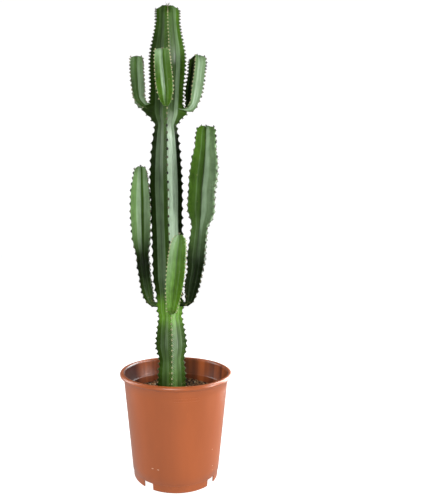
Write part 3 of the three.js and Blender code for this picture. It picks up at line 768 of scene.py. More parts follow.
def spine_mesh(grown, settings):
    """All pairs of spines of one stem, each pair on its small horny shield."""
    bm = bmesh.new()
    youth_layer = bm.verts.layers.float.new("youth")
    dice = random.Random(grown.name + " spines")
    soil_top = BOX["soil"][1].z
    for rib in range(RIBS):
        for distance in grown.teeth[rib]:
            point, outwards, sideways, heading, full = crest_point(grown, rib, distance, settings)
            if point.z < soil_top or (grown.bearing and distance < 0.9 * ROOT_REACH):
                continue
            pale = 1.0 if rib in grown.habit.get("pale_ribs", range(RIBS)) else DARK_RIB
            youth = grown.look("thorns", distance) * pale
            youth = max(0.0, youth + dice.uniform(-0.2, 0.2))
            shield = place(heading, outwards).to_4x4()
            size = (SHIELD[0] - NEW_SHIELD_LESS * youth) * (0.5 + 0.5 * full)
            pad = bmesh.ops.create_uvsphere(
                bm, u_segments=6, v_segments=4, radius=1.0,
                matrix=Matrix.Translation(point - outwards * SHIELD_SINK) @ shield
                @ Matrix.Diagonal((size, size * SHIELD[1], SHIELD[2], 1)))
            for vert in pad["verts"]:
                vert[youth_layer] = youth
            for side in (-1, 1):
                way = outwards + sideways * side * dice.uniform(*SPINE_SPREAD)
                way = (way - heading * dice.uniform(*SPINE_DROOP)).normalized()
                length = settings.spine_length * dice.uniform(*SPINE_LENGTHS)
                length *= 0.45 + 0.55 * full
                length *= 1 - NEW_SPINE_LESS * youth
                add_spine(bm, youth_layer, point, way, length, settings.spine_width, youth)
    tip, heading, _ = grown.at(grown.length)
    for number in range(CROWN_SPINES):
        angle = number * 2 * math.pi / CROWN_SPINES + dice.uniform(-0.3, 0.3)
        aside = grown.first * math.cos(angle) + heading.cross(grown.first) * math.sin(angle)
        way = (heading + CROWN_SPREAD * aside).normalized()
        length = dice.uniform(*CROWN_LENGTHS) * (1.0 if grown.bearing else LEADER_SPINES)
        add_spine(bm, youth_layer, tip + way * 1.2 * MM, way, length, settings.spine_width,
                  0.3 * grown.look("thorns", grown.length))
    return bm


# ------------------------------------------------------------------- materials

def add_node(tree, kind, inputs=None, **settings):
    """Adds a node with its settings, and sets or links its inputs."""
    node = tree.nodes.new(kind)
    for name, value in settings.items():
        setattr(node, name, value)
    for name, value in (inputs or {}).items():
        if isinstance(value, bpy.types.NodeSocket):
            tree.links.new(value, node.inputs[name])
        else:
            node.inputs[name].default_value = value
    return node


def new_material(name):
    """An empty material and its node tree."""
    made = bpy.data.materials.new(name)
    made.use_nodes = True
    made.node_tree.nodes.clear()
    return made, made.node_tree


def finish_material(tree, shader):
    add_node(tree, "ShaderNodeOutputMaterial", {"Surface": shader.outputs[0]})


def set_ramp(node, stops):
    """Gives a colour ramp these stops: (position, linear colour)."""
    ramp = node.color_ramp
    while len(ramp.elements) > 1:
        ramp.elements.remove(ramp.elements[-1])
    ramp.elements[0].position = stops[0][0]
    ramp.elements[0].color = (*stops[0][1], 1)
    for position, colour in stops[1:]:
        ramp.elements.new(position).color = (*colour, 1)


def tinted(colour, factor, towards=(0.5, 0.5, 0.5), share=0.0):
    """A colour made lighter or darker, and mixed with another by share."""
    return tuple(min(1.0, (c * (1 - share) + t * share) * factor) for c, t in zip(colour, towards))


WAX_AND_SHEEN = linear("#bcd4b8")    # pale powdery wax on the skin, also mixed in as painted sheen


def skin_colours(colour, bloom):
    """Colours of a rib from its crest, 0, to the middle of the valley, 1.

    The fold between flank and valley has a painted highlight, the crease in the middle of the
    valley painted shade.
    """
    return [
        (0.0, tinted(colour, 1.4, WAX_AND_SHEEN, bloom)),
        (0.05, tinted(colour, 1.15, WAX_AND_SHEEN, bloom * 0.5)),
        (0.12, tinted(colour, 0.95)),
        (0.5, tinted(colour, 1.0)),
        # Painted highlight on the fold between flank and valley.
        (0.57, tinted(colour, 1.1, WAX_AND_SHEEN, bloom)),
        (0.61, tinted(colour, 1.14, WAX_AND_SHEEN, bloom * 1.4)),
        (0.66, tinted(colour, 1.05, WAX_AND_SHEEN, bloom * 0.4)),
        (0.955, tinted(colour, 0.95, WAX_AND_SHEEN, bloom * 0.2)),
        # Painted shade in the crease at the middle of the valley.
        (0.985, tinted(colour, 0.45)),
    ]


def skin_material(settings):
    """Living skin of a succulent stem, grown, with a thin coat of powdery wax.

    The wax gives a soft, wide sheen at a flat angle. Old skin is dark and dull, young skin light.
    The colour also holds painted light and shade: each face is darker or lighter by its tone,
    the pale wax colour is mixed in partly as painted sheen, and each rib has a painted
    highlight on its folds and painted shade in its valley crease.
    """
    made, tree = new_material("waxy_stem_skin")
    across = add_node(tree, "ShaderNodeAttribute", attribute_name="across").outputs["Fac"]
    rise = add_node(tree, "ShaderNodeAttribute", attribute_name="rise").outputs["Fac"]
    youth = add_node(tree, "ShaderNodeAttribute", attribute_name="youth").outputs["Fac"]
    place_here = add_node(tree, "ShaderNodeTexCoord").outputs["Object"]
    old = add_node(tree, "ShaderNodeValToRGB", {"Fac": across})
    set_ramp(old, skin_colours(tuple(settings.old_skin), 0.05))
    young = add_node(tree, "ShaderNodeValToRGB", {"Fac": across})
    set_ramp(young, skin_colours(tuple(settings.young_skin), 0.07))
    age = add_node(tree, "ShaderNodeMix", {0: youth, 6: old.outputs[0], 7: young.outputs[0]},
                   data_type="RGBA")
    # Clouding of the skin and its wax, patches about 25 mm across and streaks along the stem.
    clouds = add_node(tree, "ShaderNodeTexNoise", {
        "Vector": place_here, "Scale": 1 / (25 * MM), "Detail": 4.0, "Roughness": 0.6})
    stretch = add_node(tree, "ShaderNodeMapping", {"Vector": place_here, "Scale": (1, 1, 0.12)})
    streaks = add_node(tree, "ShaderNodeTexNoise", {
        "Vector": stretch.outputs[0], "Scale": 1 / (4 * MM), "Detail": 3.0})
    shade = add_node(tree, "ShaderNodeMath", {0: clouds.outputs["Fac"], 1: streaks.outputs["Fac"]},
                     operation="ADD")
    level = add_node(tree, "ShaderNodeMapRange", {
        "Value": shade.outputs[0], "From Min": 0.7, "From Max": 1.3, "To Min": 0.72, "To Max": 1.3})
    # Tone is painted light and shade: darker on faces that the arms and the main stem shade, lighter
    # where light falls.
    tone = add_node(tree, "ShaderNodeAttribute", attribute_name="tone").outputs["Fac"]
    toned = add_node(tree, "ShaderNodeMath", {0: level.outputs[0], 1: tone}, operation="MULTIPLY")
    mottled_and_shaded = add_node(tree, "ShaderNodeVectorMath", {
        0: age.outputs[2], "Scale": toned.outputs[0]}, operation="SCALE")
    # Corky scars near the soil and in small patches on old skin.
    scars = add_node(tree, "ShaderNodeTexNoise", {
        "Vector": place_here, "Scale": 1 / (9 * MM), "Detail": 6.0, "Roughness": 0.7})
    low = add_node(tree, "ShaderNodeMapRange", {
        "Value": rise, "From Min": 0.01, "From Max": 0.07, "To Min": 0.12, "To Max": 0.0})
    corky = add_node(tree, "ShaderNodeMath", {0: scars.outputs["Fac"], 1: low.outputs[0]},
                     operation="ADD")
    cork_mask = add_node(tree, "ShaderNodeMapRange", {
        "Value": corky.outputs[0], "From Min": 0.66, "From Max": 0.74, "To Min": 0.0,
        "To Max": 0.5})
    skin = add_node(tree, "ShaderNodeMix", {
        0: cork_mask.outputs[0], 6: mottled_and_shaded.outputs[0], 7: (*linear("#8d8a5e"), 1)},
        data_type="RGBA")
    # Pale wax colour mixed in by face: partly powdery wax, partly painted sheen and highlight on
    # faces that catch the light. It lies unevenly.
    bloom = add_node(tree, "ShaderNodeAttribute", attribute_name="bloom").outputs["Fac"]
    patchy = add_node(tree, "ShaderNodeMapRange", {
        "Value": shade.outputs[0], "From Min": 0.7, "From Max": 1.3, "To Min": 0.6,
        "To Max": 1.0})
    veil = add_node(tree, "ShaderNodeMath", {0: bloom, 1: patchy.outputs[0]},
                    operation="MULTIPLY", use_clamp=True)
    wax_and_sheen_mixed = add_node(tree, "ShaderNodeMix", {
        0: veil.outputs[0], 6: skin.outputs[2], 7: (*WAX_AND_SHEEN, 1)}, data_type="RGBA")
    # Slanting ripples on the flanks, about 4 mm apart, fading towards the valley.
    slant = add_node(tree, "ShaderNodeMath", {0: across, 1: 14 * MM, 2: rise},
                     operation="MULTIPLY_ADD")
    turns = add_node(tree, "ShaderNodeMath", {
        0: slant.outputs[0], 1: 2 * math.pi / (4.2 * MM), 2: 0.0}, operation="MULTIPLY_ADD")
    wobble = add_node(tree, "ShaderNodeMath", {
        0: clouds.outputs["Fac"], 1: 14.0, 2: turns.outputs[0]}, operation="MULTIPLY_ADD")
    ripple = add_node(tree, "ShaderNodeMath", {0: wobble.outputs[0]}, operation="SINE")
    fade = add_node(tree, "ShaderNodeMapRange", {
        "Value": across, "From Min": 0.2, "From Max": 0.58, "To Min": 0.3 * MM, "To Max": 0.0})
    rippled = add_node(tree, "ShaderNodeMath", {0: ripple.outputs[0], 1: fade.outputs[0]},
                       operation="MULTIPLY")
    grain = add_node(tree, "ShaderNodeMath", {
        0: streaks.outputs["Fac"], 1: 0.16 * MM, 2: rippled.outputs[0]}, operation="MULTIPLY_ADD")
    relief = add_node(tree, "ShaderNodeBump", {
        "Height": grain.outputs[0], "Distance": 1.0, "Strength": 1.0})
    rough = add_node(tree, "ShaderNodeMapRange", {
        "Value": clouds.outputs["Fac"], "From Min": 0.3, "From Max": 0.7, "To Min": 0.34,
        "To Max": 0.48})
    shader = add_node(tree, "ShaderNodeBsdfPrincipled", {
        "Base Color": wax_and_sheen_mixed.outputs[2], "Roughness": rough.outputs[0], "IOR": 1.42,
        "Specular IOR Level": 0.1, "Normal": relief.outputs[0]})
    finish_material(tree, shader)
    return made


def spine_material(settings):
    """Dry horn of spines and shields, grown. Smooth and slightly glossy, pale when new."""
    made, tree = new_material("horny_spine")
    youth = add_node(tree, "ShaderNodeAttribute", attribute_name="youth").outputs["Fac"]
    place_here = add_node(tree, "ShaderNodeTexCoord").outputs["Object"]
    spots = add_node(tree, "ShaderNodeTexNoise", {"Vector": place_here, "Scale": 1 / (1.5 * MM)})
    shift = add_node(tree, "ShaderNodeMath", {0: spots.outputs["Fac"], 1: 0.5, 2: -0.25},
                     operation="MULTIPLY_ADD")
    age = add_node(tree, "ShaderNodeMath", {0: youth, 1: shift.outputs[0]}, operation="ADD",
                   use_clamp=True)
    colour = add_node(tree, "ShaderNodeMix", {
        0: age.outputs[0], 6: (*settings.old_spine, 1), 7: (*settings.young_spine, 1)},
        data_type="RGBA")
    shader = add_node(tree, "ShaderNodeBsdfPrincipled", {
        "Base Color": colour.outputs[2], "Roughness": 0.65, "IOR": 1.4})
    finish_material(tree, shader)
    return made


def pot_material(settings):
    """Polypropylene, injection moulded with a fine matt grain, scuffed a little by handling."""
    made, tree = new_material("moulded_polypropylene")
    place_here = add_node(tree, "ShaderNodeTexCoord").outputs["Object"]
    colour = tuple(settings.colour)
    # Flow of the melt: broad, faint bands up the wall.
    stretch = add_node(tree, "ShaderNodeMapping", {"Vector": place_here, "Scale": (1, 1, 0.25)})
    flow = add_node(tree, "ShaderNodeTexNoise", {
        "Vector": stretch.outputs[0], "Scale": 1 / (30 * MM), "Detail": 3.0})
    tone = add_node(tree, "ShaderNodeValToRGB", {"Fac": flow.outputs["Fac"]})
    set_ramp(tone, [(0.3, tinted(colour, 0.93)), (0.7, tinted(colour, 1.06))])
    # Fine scuffs from stacking, a few millimetres long.
    scuff_place = add_node(tree, "ShaderNodeMapping", {
        "Vector": place_here, "Scale": (1, 1, 0.35), "Rotation": (0.3, 0.2, 0)})
    scuffs = add_node(tree, "ShaderNodeTexNoise", {
        "Vector": scuff_place.outputs[0], "Scale": 1 / (2.2 * MM), "Detail": 2.0})
    scuff_mask = add_node(tree, "ShaderNodeMapRange", {
        "Value": scuffs.outputs["Fac"], "From Min": 0.66, "From Max": 0.78, "To Min": 0.0,
        "To Max": 0.22})
    worn = add_node(tree, "ShaderNodeMix", {
        0: scuff_mask.outputs[0], 6: tone.outputs[0], 7: (*tinted(colour, 1.35), 1)},
        data_type="RGBA")
    # Painted shade inside the pot: faces that look towards the axis are darkened,
    # in patches given by a noise.
    flat = add_node(tree, "ShaderNodeVectorMath", {
        0: place_here, 1: (1, 1, 0)}, operation="MULTIPLY")
    outwards = add_node(tree, "ShaderNodeVectorMath", {0: flat.outputs[0]}, operation="NORMALIZE")
    facing = add_node(tree, "ShaderNodeNewGeometry").outputs["Normal"]
    away = add_node(tree, "ShaderNodeVectorMath", {0: outwards.outputs[0], 1: facing},
                    operation="DOT_PRODUCT")
    inside = add_node(tree, "ShaderNodeMapRange", {
        "Value": away.outputs["Value"], "From Min": -0.9, "From Max": -0.3, "To Min": 1.0,
        "To Max": 0.0})
    inside_shade_noise = add_node(tree, "ShaderNodeTexNoise", {
        "Vector": outwards.outputs[0], "Scale": 2.2, "Detail": 3.0, "Roughness": 0.6})
    inside_shade_patches = add_node(tree, "ShaderNodeMapRange", {
        "Value": inside_shade_noise.outputs["Fac"], "From Min": 0.4, "From Max": 0.55, "To Min": 0.15,
        "To Max": 0.85})
    # The painted shade is darkest on the inside of the left wall.
    leftwards = add_node(tree, "ShaderNodeVectorMath", {
        0: outwards.outputs[0], 1: (-1, 0, 0)}, operation="DOT_PRODUCT")
    damp = add_node(tree, "ShaderNodeMapRange", {
        "Value": leftwards.outputs["Value"], "From Min": 0.6, "From Max": 0.85})
    darkest = add_node(tree, "ShaderNodeMath", {
        0: inside_shade_patches.outputs[0], 1: damp.outputs[0]}, operation="MAXIMUM")
    inside_shade = add_node(tree, "ShaderNodeMath", {
        0: inside.outputs[0], 1: darkest.outputs[0]}, operation="MULTIPLY")
    with_inside_shade = add_node(tree, "ShaderNodeMix", {
        0: inside_shade.outputs[0], 6: worn.outputs[2], 7: (*linear("#3c1408"), 1)},
        data_type="RGBA")
    # The tool's matt grain is under 0.2 mm and is drawn at 0.9 mm so that it shows.
    grain = add_node(tree, "ShaderNodeTexNoise", {
        "Vector": place_here, "Scale": 1 / (0.9 * MM), "Detail": 2.0})
    relief = add_node(tree, "ShaderNodeBump", {
        "Height": grain.outputs["Fac"], "Distance": 0.06 * MM, "Strength": 0.6})
    rough = add_node(tree, "ShaderNodeMapRange", {
        "Value": flow.outputs["Fac"], "From Min": 0.3, "From Max": 0.7, "To Min": 0.3,
        "To Max": 0.38})
    shader = add_node(tree, "ShaderNodeBsdfPrincipled", {
        "Base Color": with_inside_shade.outputs[2], "Roughness": rough.outputs[0], "IOR": 1.49,
        "Coat Weight": 0.45, "Coat Roughness": 0.35, "Normal": relief.outputs[0]})
    finish_material(tree, shader)
    return made


def soil_material(settings):
    """Damp peat and bark potting mix, tipped in and watered. Dull, with crumbs down to 1 mm."""
    made, tree = new_material("damp_potting_mix")
    place_here = add_node(tree, "ShaderNodeTexCoord").outputs["Object"]
    colour = tuple(settings.colour)
    lumps = add_node(tree, "ShaderNodeTexNoise", {
        "Vector": place_here, "Scale": 1 / (7 * MM), "Detail": 8.0, "Roughness": 0.7})
    tone = add_node(tree, "ShaderNodeValToRGB", {"Fac": lumps.outputs["Fac"]})
    set_ramp(tone, [
        (0.3, tinted(colour, 0.45)), (0.5, colour), (0.62, tinted(colour, 1.9)),
        (0.75, tinted(colour, 2.8))])
    crumbs = add_node(tree, "ShaderNodeTexVoronoi", {
        "Vector": place_here, "Scale": 1 / (2.4 * MM)})
    height = add_node(tree, "ShaderNodeMath", {
        0: lumps.outputs["Fac"], 1: 1.6, 2: crumbs.outputs["Distance"]}, operation="MULTIPLY_ADD")
    relief = add_node(tree, "ShaderNodeBump", {
        "Height": height.outputs[0], "Distance": 1.2 * MM, "Strength": 1.0})
    shader = add_node(tree, "ShaderNodeBsdfPrincipled", {
        "Base Color": tone.outputs[0], "Roughness": 0.92, "IOR": 1.4,
        "Normal": relief.outputs[0]})
    finish_material(tree, shader)
    return made


def grain_material(name, light, dark, scale, roughness):
    """Small loose matter: expanded perlite, popped by heat, or bark and coir fibre, torn."""
    made, tree = new_material(name)
    place_here = add_node(tree, "ShaderNodeTexCoord").outputs["Object"]
    spots = add_node(tree, "ShaderNodeTexNoise", {"Vector": place_here, "Scale": 1 / scale})
    tone = add_node(tree, "ShaderNodeValToRGB", {"Fac": spots.outputs["Fac"]})
    set_ramp(tone, [(0.35, linear(dark)), (0.65, linear(light))])
    shader = add_node(tree, "ShaderNodeBsdfPrincipled", {
        "Base Color": tone.outputs[0], "Roughness": roughness, "IOR": 1.5})
    finish_material(tree, shader)
    return made


def floor_material():
    """White paper sweep, pressed smooth. Partly self-lit, so that it reads as evenly lit paper."""
    made, tree = new_material("white_paper")
    paper = add_node(tree, "ShaderNodeBsdfDiffuse", {"Color": (0.35, 0.35, 0.35, 1)})
    glow = add_node(tree, "ShaderNodeEmission", {"Color": (1, 1, 1, 1), "Strength": 0.975})
    both = add_node(tree, "ShaderNodeAddShader", {0: paper.outputs[0], 1: glow.outputs[0]})
    finish_material(tree, both)
    return made


# ------------------------------------------------------------------------- pot

DRAIN_ANGLES = (52.5, 97.5, 142.5, 217.5, 262.5, 322.5)   # degrees round from the front
DRAIN_WIDTH = 20 * MM
DRAIN_HEIGHT = 11.5 * MM
DRAIN_REACH = 9 * MM
DRAIN_SLOT = 12 * MM
FOOT_STEP = 1.2 * MM
FOOT_DRAFT = 0.8 * MM
FOOT_WALL = 2.2 * MM
FLOOR_WALL = 2 * MM
DRAIN_CORNER = 1.6 * MM
ROLL_STEPS = 16
ROLL_START = -100            # where the rolled rim's outline starts and how far it goes, in degrees
ROLL_SWEEP = 290
WALL_UNDER_RIM = 1.4         # how far below the rim's top the wall starts, in rim rolls
WALL_STEPS = 12
POT_SHARP = math.radians(35)   # edges sharper than this stay sharp
# Scuffs: (degrees round from the front, height and width in millimetres).
SCUFFS = [(-29, 40, 3.4), (-21.5, 40, 3.4), (48.5, 66, 1.6), (52, 34, 1.8), (53, 26, 1.2)]
SCUFF_SIZE = (0.6 * MM, 1.0 * MM)   # a scuff's whole depth, half of it proud, and its height
SCUFF_CORNER = 0.15 * MM
LINE_ANGLES = (-2, 27)       # where the fine lines start, degrees round from the front, and sweep
LINE_HEIGHTS = (162 * MM, 167 * MM)
LINE_WIDTH = 0.7 * MM
LINE_PROUD = 0.3 * MM
LINE_STEPS = 12


def wall_top(settings):
    """Height at which the wall meets the rolled rim."""
    return BOX["pot"][1].z - WALL_UNDER_RIM * settings.roll


def wall_radius(height, settings):
    """Outside radius of the pot's wall at a height."""
    outer_top = BOX["pot"][1].x - settings.overhang
    share = (height - settings.foot_height) / (wall_top(settings) - settings.foot_height)
    return settings.foot_radius + (outer_top - settings.foot_radius) * share


def pot_profile(settings):
    """Section of the pot as [radius, height], from the underside's middle out, up and back in."""
    rim = BOX["pot"][1]
    roll = settings.roll / 2
    top = wall_top(settings)
    foot = settings.foot_height
    outer_foot = settings.foot_radius
    step_radius = outer_foot - FOOT_STEP
    foot_inside = step_radius - FOOT_WALL
    foot_tip = step_radius - FOOT_DRAFT
    ledge = rim.z - settings.ledge
    floor = foot + FLOOR_WALL

    def inside(height, wall):
        return wall_radius(height, settings) - wall

    points = [
        (0, foot), (foot_inside - 0.8 * MM, foot), (foot_inside, foot - 0.8 * MM),
        (foot_tip - FOOT_WALL, 0.5 * MM), (foot_tip - FOOT_WALL + 0.5 * MM, 0),
        (foot_tip - 0.5 * MM, 0), (foot_tip, 0.5 * MM), (step_radius, foot - FOOT_STEP),
        (step_radius + 0.3 * MM, foot - 0.4 * MM), (outer_foot - 0.3 * MM, foot),
        (outer_foot, foot + 0.4 * MM)]
    for i in range(1, WALL_STEPS + 1):
        height = foot + (top - foot) * i / WALL_STEPS
        points.append((inside(height, 0), height))
    for i in range(ROLL_STEPS + 1):
        angle = math.radians(ROLL_START + ROLL_SWEEP * i / ROLL_STEPS)
        points.append((rim.x - roll + roll * math.cos(angle), rim.z - roll + roll * math.sin(angle)))
    points += [
        (inside(top, settings.upper_wall), top),
        (inside(ledge, settings.upper_wall) + 0.1 * MM, ledge + 0.4 * MM),
        (inside(ledge, settings.upper_wall) - 0.1 * MM, ledge),
        (inside(ledge - 1 * MM, settings.wall), ledge - 0.6 * MM),
        (inside(ledge - 2 * MM, settings.wall), ledge - 1.6 * MM),
        (inside(floor, settings.wall), floor + 0.6 * MM),
        (inside(floor, settings.wall) - 0.6 * MM, floor), (0, floor)]
    return points


def drain_cutters(settings):
    """Round-cornered blocks for the notches in the foot ring and the slots in the floor."""
    bm = bmesh.new()
    step_radius = settings.foot_radius - FOOT_STEP
    floor = settings.foot_height + FLOOR_WALL
    length = DRAIN_REACH + 2 * FOOT_STEP + FOOT_WALL
    slot_length = DRAIN_REACH - FOOT_WALL
    slot_reach = step_radius - FOOT_WALL - FOOT_DRAFT - slot_length / 2
    # (size, place) of the notch and of the slot, on a drain at the back.
    blocks = [
        ((DRAIN_WIDTH, length, 2 * DRAIN_HEIGHT), (0, step_radius + FOOT_STEP - length / 2, 0)),
        ((DRAIN_SLOT, slot_length, floor), (0, slot_reach, floor / 2 + 1 * MM)),
    ]
    for angle in DRAIN_ANGLES:
        for size, (x, y, z) in blocks:
            turned = Matrix.Rotation(math.radians(angle), 4, "Z")
            made = bmesh.ops.create_cube(
                bm, size=1.0,
                matrix=turned @ Matrix.Translation((x, -y, z)) @ Matrix.Diagonal((*size, 1)))
            verts = made["verts"]
            way = turned @ Vector((0, 1, 0))
            rim = {e for v in verts for e in v.link_edges
                   if abs((e.verts[1].co - e.verts[0].co).normalized().dot(way)) > 0.9}
            bmesh.ops.bevel(
                bm, geom=list(rim), offset=DRAIN_CORNER, offset_type="OFFSET", segments=3,
                profile=0.5, affect="EDGES", material=-1)
    return bm


class PLANT_OT_add_pot(bpy.types.Operator):
    """Turn the pot's section into a pot, cut its drains and add its moulding marks"""
    bl_idname = "plant.add_pot"
    bl_label = "Add Pot"

    def execute(self, context):
        settings = context.scene.plant_pot
        finish = pot_material(settings)
        bm = bmesh.new()
        verts = [bm.verts.new((radius, 0, height)) for radius, height in pot_profile(settings)]
        edges = [bm.edges.new(pair) for pair in zip(verts, verts[1:])]
        bmesh.ops.spin(
            bm, geom=verts + edges, cent=(0, 0, 0), axis=(0, 0, 1), angle=2 * math.pi,
            steps=settings.steps, use_merge=True)
        bmesh.ops.remove_doubles(bm, verts=bm.verts[:], dist=0.01 * MM)
        bmesh.ops.recalc_face_normals(bm, faces=bm.faces[:])
        pot = new_piece("nursery_pot", bm, finish, POT_SHARP)
        cutter_bm = drain_cutters(settings)
        bmesh.ops.recalc_face_normals(cutter_bm, faces=cutter_bm.faces[:])
        cutter_mesh = bpy.data.meshes.new("drain_cutters")
        cutter_bm.to_mesh(cutter_mesh)
        cutter_bm.free()
        cutter = bpy.data.objects.new("drain_cutters", cutter_mesh)
        context.scene.collection.objects.link(cutter)
        cut = pot.modifiers.new("drains", "BOOLEAN")
        cut.operation = "DIFFERENCE"
        cut.solver = "EXACT"
        cut.use_self = True
        cut.object = cutter
        context.view_layer.update()
        shown = pot.evaluated_get(context.evaluated_depsgraph_get())
        cut_mesh = bpy.data.meshes.new_from_object(shown)
        pot.modifiers.clear()
        pot.data = cut_mesh
        cut_mesh.set_sharp_from_angle(angle=POT_SHARP)
        bpy.data.objects.remove(cutter)
        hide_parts("pot")
        self.add_scuffs(settings)
        self.add_lines(settings, finish)
        return {"FINISHED"}

    def add_scuffs(self, settings):
        """Short pale scuffs low on the wall, where the plastic has been whitened by knocks."""
        bm = bmesh.new()
        for angle, height, width in SCUFFS:
            z = height * MM
            turned = Matrix.Rotation(math.radians(angle), 4, "Z")
            moved = Matrix.Translation((0, -wall_radius(z, settings), z))
            made = bmesh.ops.create_cube(
                bm, size=1.0,
                matrix=turned @ moved @ Matrix.Diagonal((width * MM, *SCUFF_SIZE, 1)))
            edges = list({e for v in made["verts"] for e in v.link_edges})
            bmesh.ops.bevel(
                bm, geom=edges, offset=SCUFF_CORNER, offset_type="OFFSET", segments=2,
                profile=0.5, affect="EDGES", material=-1)
        scuffs = new_piece("pot_scuffs", bm, grain_material(
            "whitened_polypropylene", "#ecd2bb", "#d9a581", 2 * MM, 0.6), POT_SHARP)

    def add_lines(self, settings, finish):
        """Two fine raised lines across the wall under the rim, left by an insert in the tool."""
        bm = bmesh.new()
        start, sweep = (math.radians(angle) for angle in LINE_ANGLES)
        for height in LINE_HEIGHTS:
            radius = wall_radius(height, settings)
            half = LINE_WIDTH / 2
            corners = [(radius - half, -half), (radius + LINE_PROUD, -half),
                       (radius + LINE_PROUD, half), (radius - half, half)]
            verts = [bm.verts.new((r * math.sin(start), -r * math.cos(start), height + z))
                     for r, z in corners]
            edges = [bm.edges.new(pair) for pair in zip(verts, verts[1:] + verts[:1])]
            drawn = bmesh.ops.spin(
                bm, geom=verts + edges, cent=(0, 0, 0), axis=(0, 0, 1), angle=sweep,
                steps=LINE_STEPS)
            last = [g for g in drawn["geom_last"] if isinstance(g, bmesh.types.BMEdge)]
            bmesh.ops.edgeloop_fill(bm, edges=last)
            bmesh.ops.edgeloop_fill(bm, edges=edges)
        bmesh.ops.recalc_face_normals(bm, faces=bm.faces[:])
        lines = new_piece("pot_tool_lines", bm, finish, POT_SHARP)


# ------------------------------------------------------------------------ soil

SOIL_SEGMENTS = 128
SOIL_RINGS = 42
SOIL_CROWDING = 0.9          # below 1 the rings lie closer together at the wall
SOIL_SLACK = 2.6 * MM        # from the outside of the wall to the soil at the bottom
SOIL_DIP = 4.5 * MM          # how far the visible surface lies below the top of the frame's soil
LUMP_SIZE = 26 * MM
CRUMB_SIZE = 6 * MM
MOUND_HEIGHT = 4 * MM        # the soil is heaped up round the stem
MOUND_RADIUS = 42 * MM
ANY_TURN = (0, 6.3)          # a full turn, in radians
FIBRE_LENGTHS = (7 * MM, 20 * MM)
FIBRE_WIDTHS = (0.5 * MM, 1.1 * MM)
FIBRE_LIFT = 0.9 * MM        # the middle of a fibre lies this far above the soil
STEM_CLEARANCE = 20 * MM     # no litter lies nearer than this to the middle of the stem
WALL_CLEARANCE = 4 * MM


def stem_foot():
    """Middle of the main stem where it leaves the soil."""
    return stem("main_stem").centres[4]


def soil_height(x, y, settings):
    """Height of the soil's surface at a place, from the frame's level with lumps and dips."""
    level = BOX["soil"][1].z - SOIL_DIP
    lumps = noise.noise(Vector((x, y, 0.3)) / LUMP_SIZE) * settings.unevenness
    crumbs = noise.noise(Vector((x, y, 7.7)) / CRUMB_SIZE) * settings.unevenness * 0.4
    far = ((x - stem_foot().x) ** 2 + y ** 2) / MOUND_RADIUS ** 2
    return level + lumps + crumbs + MOUND_HEIGHT * math.exp(-far)


class PLANT_OT_add_soil(bpy.types.Operator):
    """Fill the pot with potting mix that has an uneven surface"""
    bl_idname = "plant.add_soil"
    bl_label = "Add Soil"

    def execute(self, context):
        settings = context.scene.plant_soil
        low, high = BOX["soil"]
        bm = bmesh.new()
        made = bmesh.ops.create_circle(
            bm, cap_ends=True, segments=SOIL_SEGMENTS,
            radius=context.scene.plant_pot.foot_radius - SOIL_SLACK,
            matrix=Matrix.Translation((0, 0, low.z)))
        bottom = made["verts"][0].link_faces[0]
        edges = list(bottom.edges)
        for number in range(SOIL_RINGS):
            radius = high.x * (1 - number / SOIL_RINGS) ** SOIL_CROWDING
            drawn = bmesh.ops.extrude_edge_only(bm, edges=edges)["geom"]
            ring = [g for g in drawn if isinstance(g, bmesh.types.BMVert)]
            edges = [g for g in drawn if isinstance(g, bmesh.types.BMEdge)]
            for vert in ring:
                angle = math.atan2(vert.co.y, vert.co.x)
                x = radius * math.cos(angle)
                y = radius * math.sin(angle)
                vert.co = (x, y, soil_height(x, y, settings))
        cap = bmesh.ops.edgeloop_fill(bm, edges=edges)["faces"]
        bmesh.ops.poke(bm, faces=cap)
        bmesh.ops.poke(bm, faces=[bottom])
        bmesh.ops.recalc_face_normals(bm, faces=bm.faces[:])
        soil = new_piece("potting_mix", bm, soil_material(settings), math.radians(60))
        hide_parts("soil")
        return {"FINISHED"}


def soil_spot(dice, settings):
    """A random place on the soil, clear of the stem and the wall."""
    reach = BOX["soil"][1].x - WALL_CLEARANCE
    while True:
        x, y = dice.uniform(-reach, reach), dice.uniform(-reach, reach)
        if math.hypot(x, y) < reach and math.hypot(x - stem_foot().x, y) > STEM_CLEARANCE:
            return Vector((x, y, soil_height(x, y, settings)))


def add_grains(bm, count, sizes, dice, settings, flat):
    """Scatters small broken lumps over the soil, each a twenty-sided one pushed out of shape."""
    for _ in range(count):
        size = dice.uniform(*sizes) * MM
        turned = Matrix.Rotation(dice.uniform(*ANY_TURN), 4, Vector((
            dice.uniform(-1, 1), dice.uniform(-1, 1), dice.uniform(-1, 1) + 0.01)).normalized())
        spot = soil_spot(dice, settings) + UP * size * 0.25
        shape = Matrix.Diagonal((dice.uniform(0.7, 1.4), dice.uniform(0.6, 1.1), flat, 1))
        made = bmesh.ops.create_icosphere(
            bm, subdivisions=1, radius=size / 2,
            matrix=Matrix.Translation(spot) @ turned @ shape)
        for vert in made["verts"]:
            vert.co += Vector((
                dice.uniform(-1, 1), dice.uniform(-1, 1), dice.uniform(-1, 1))) * size * 0.1


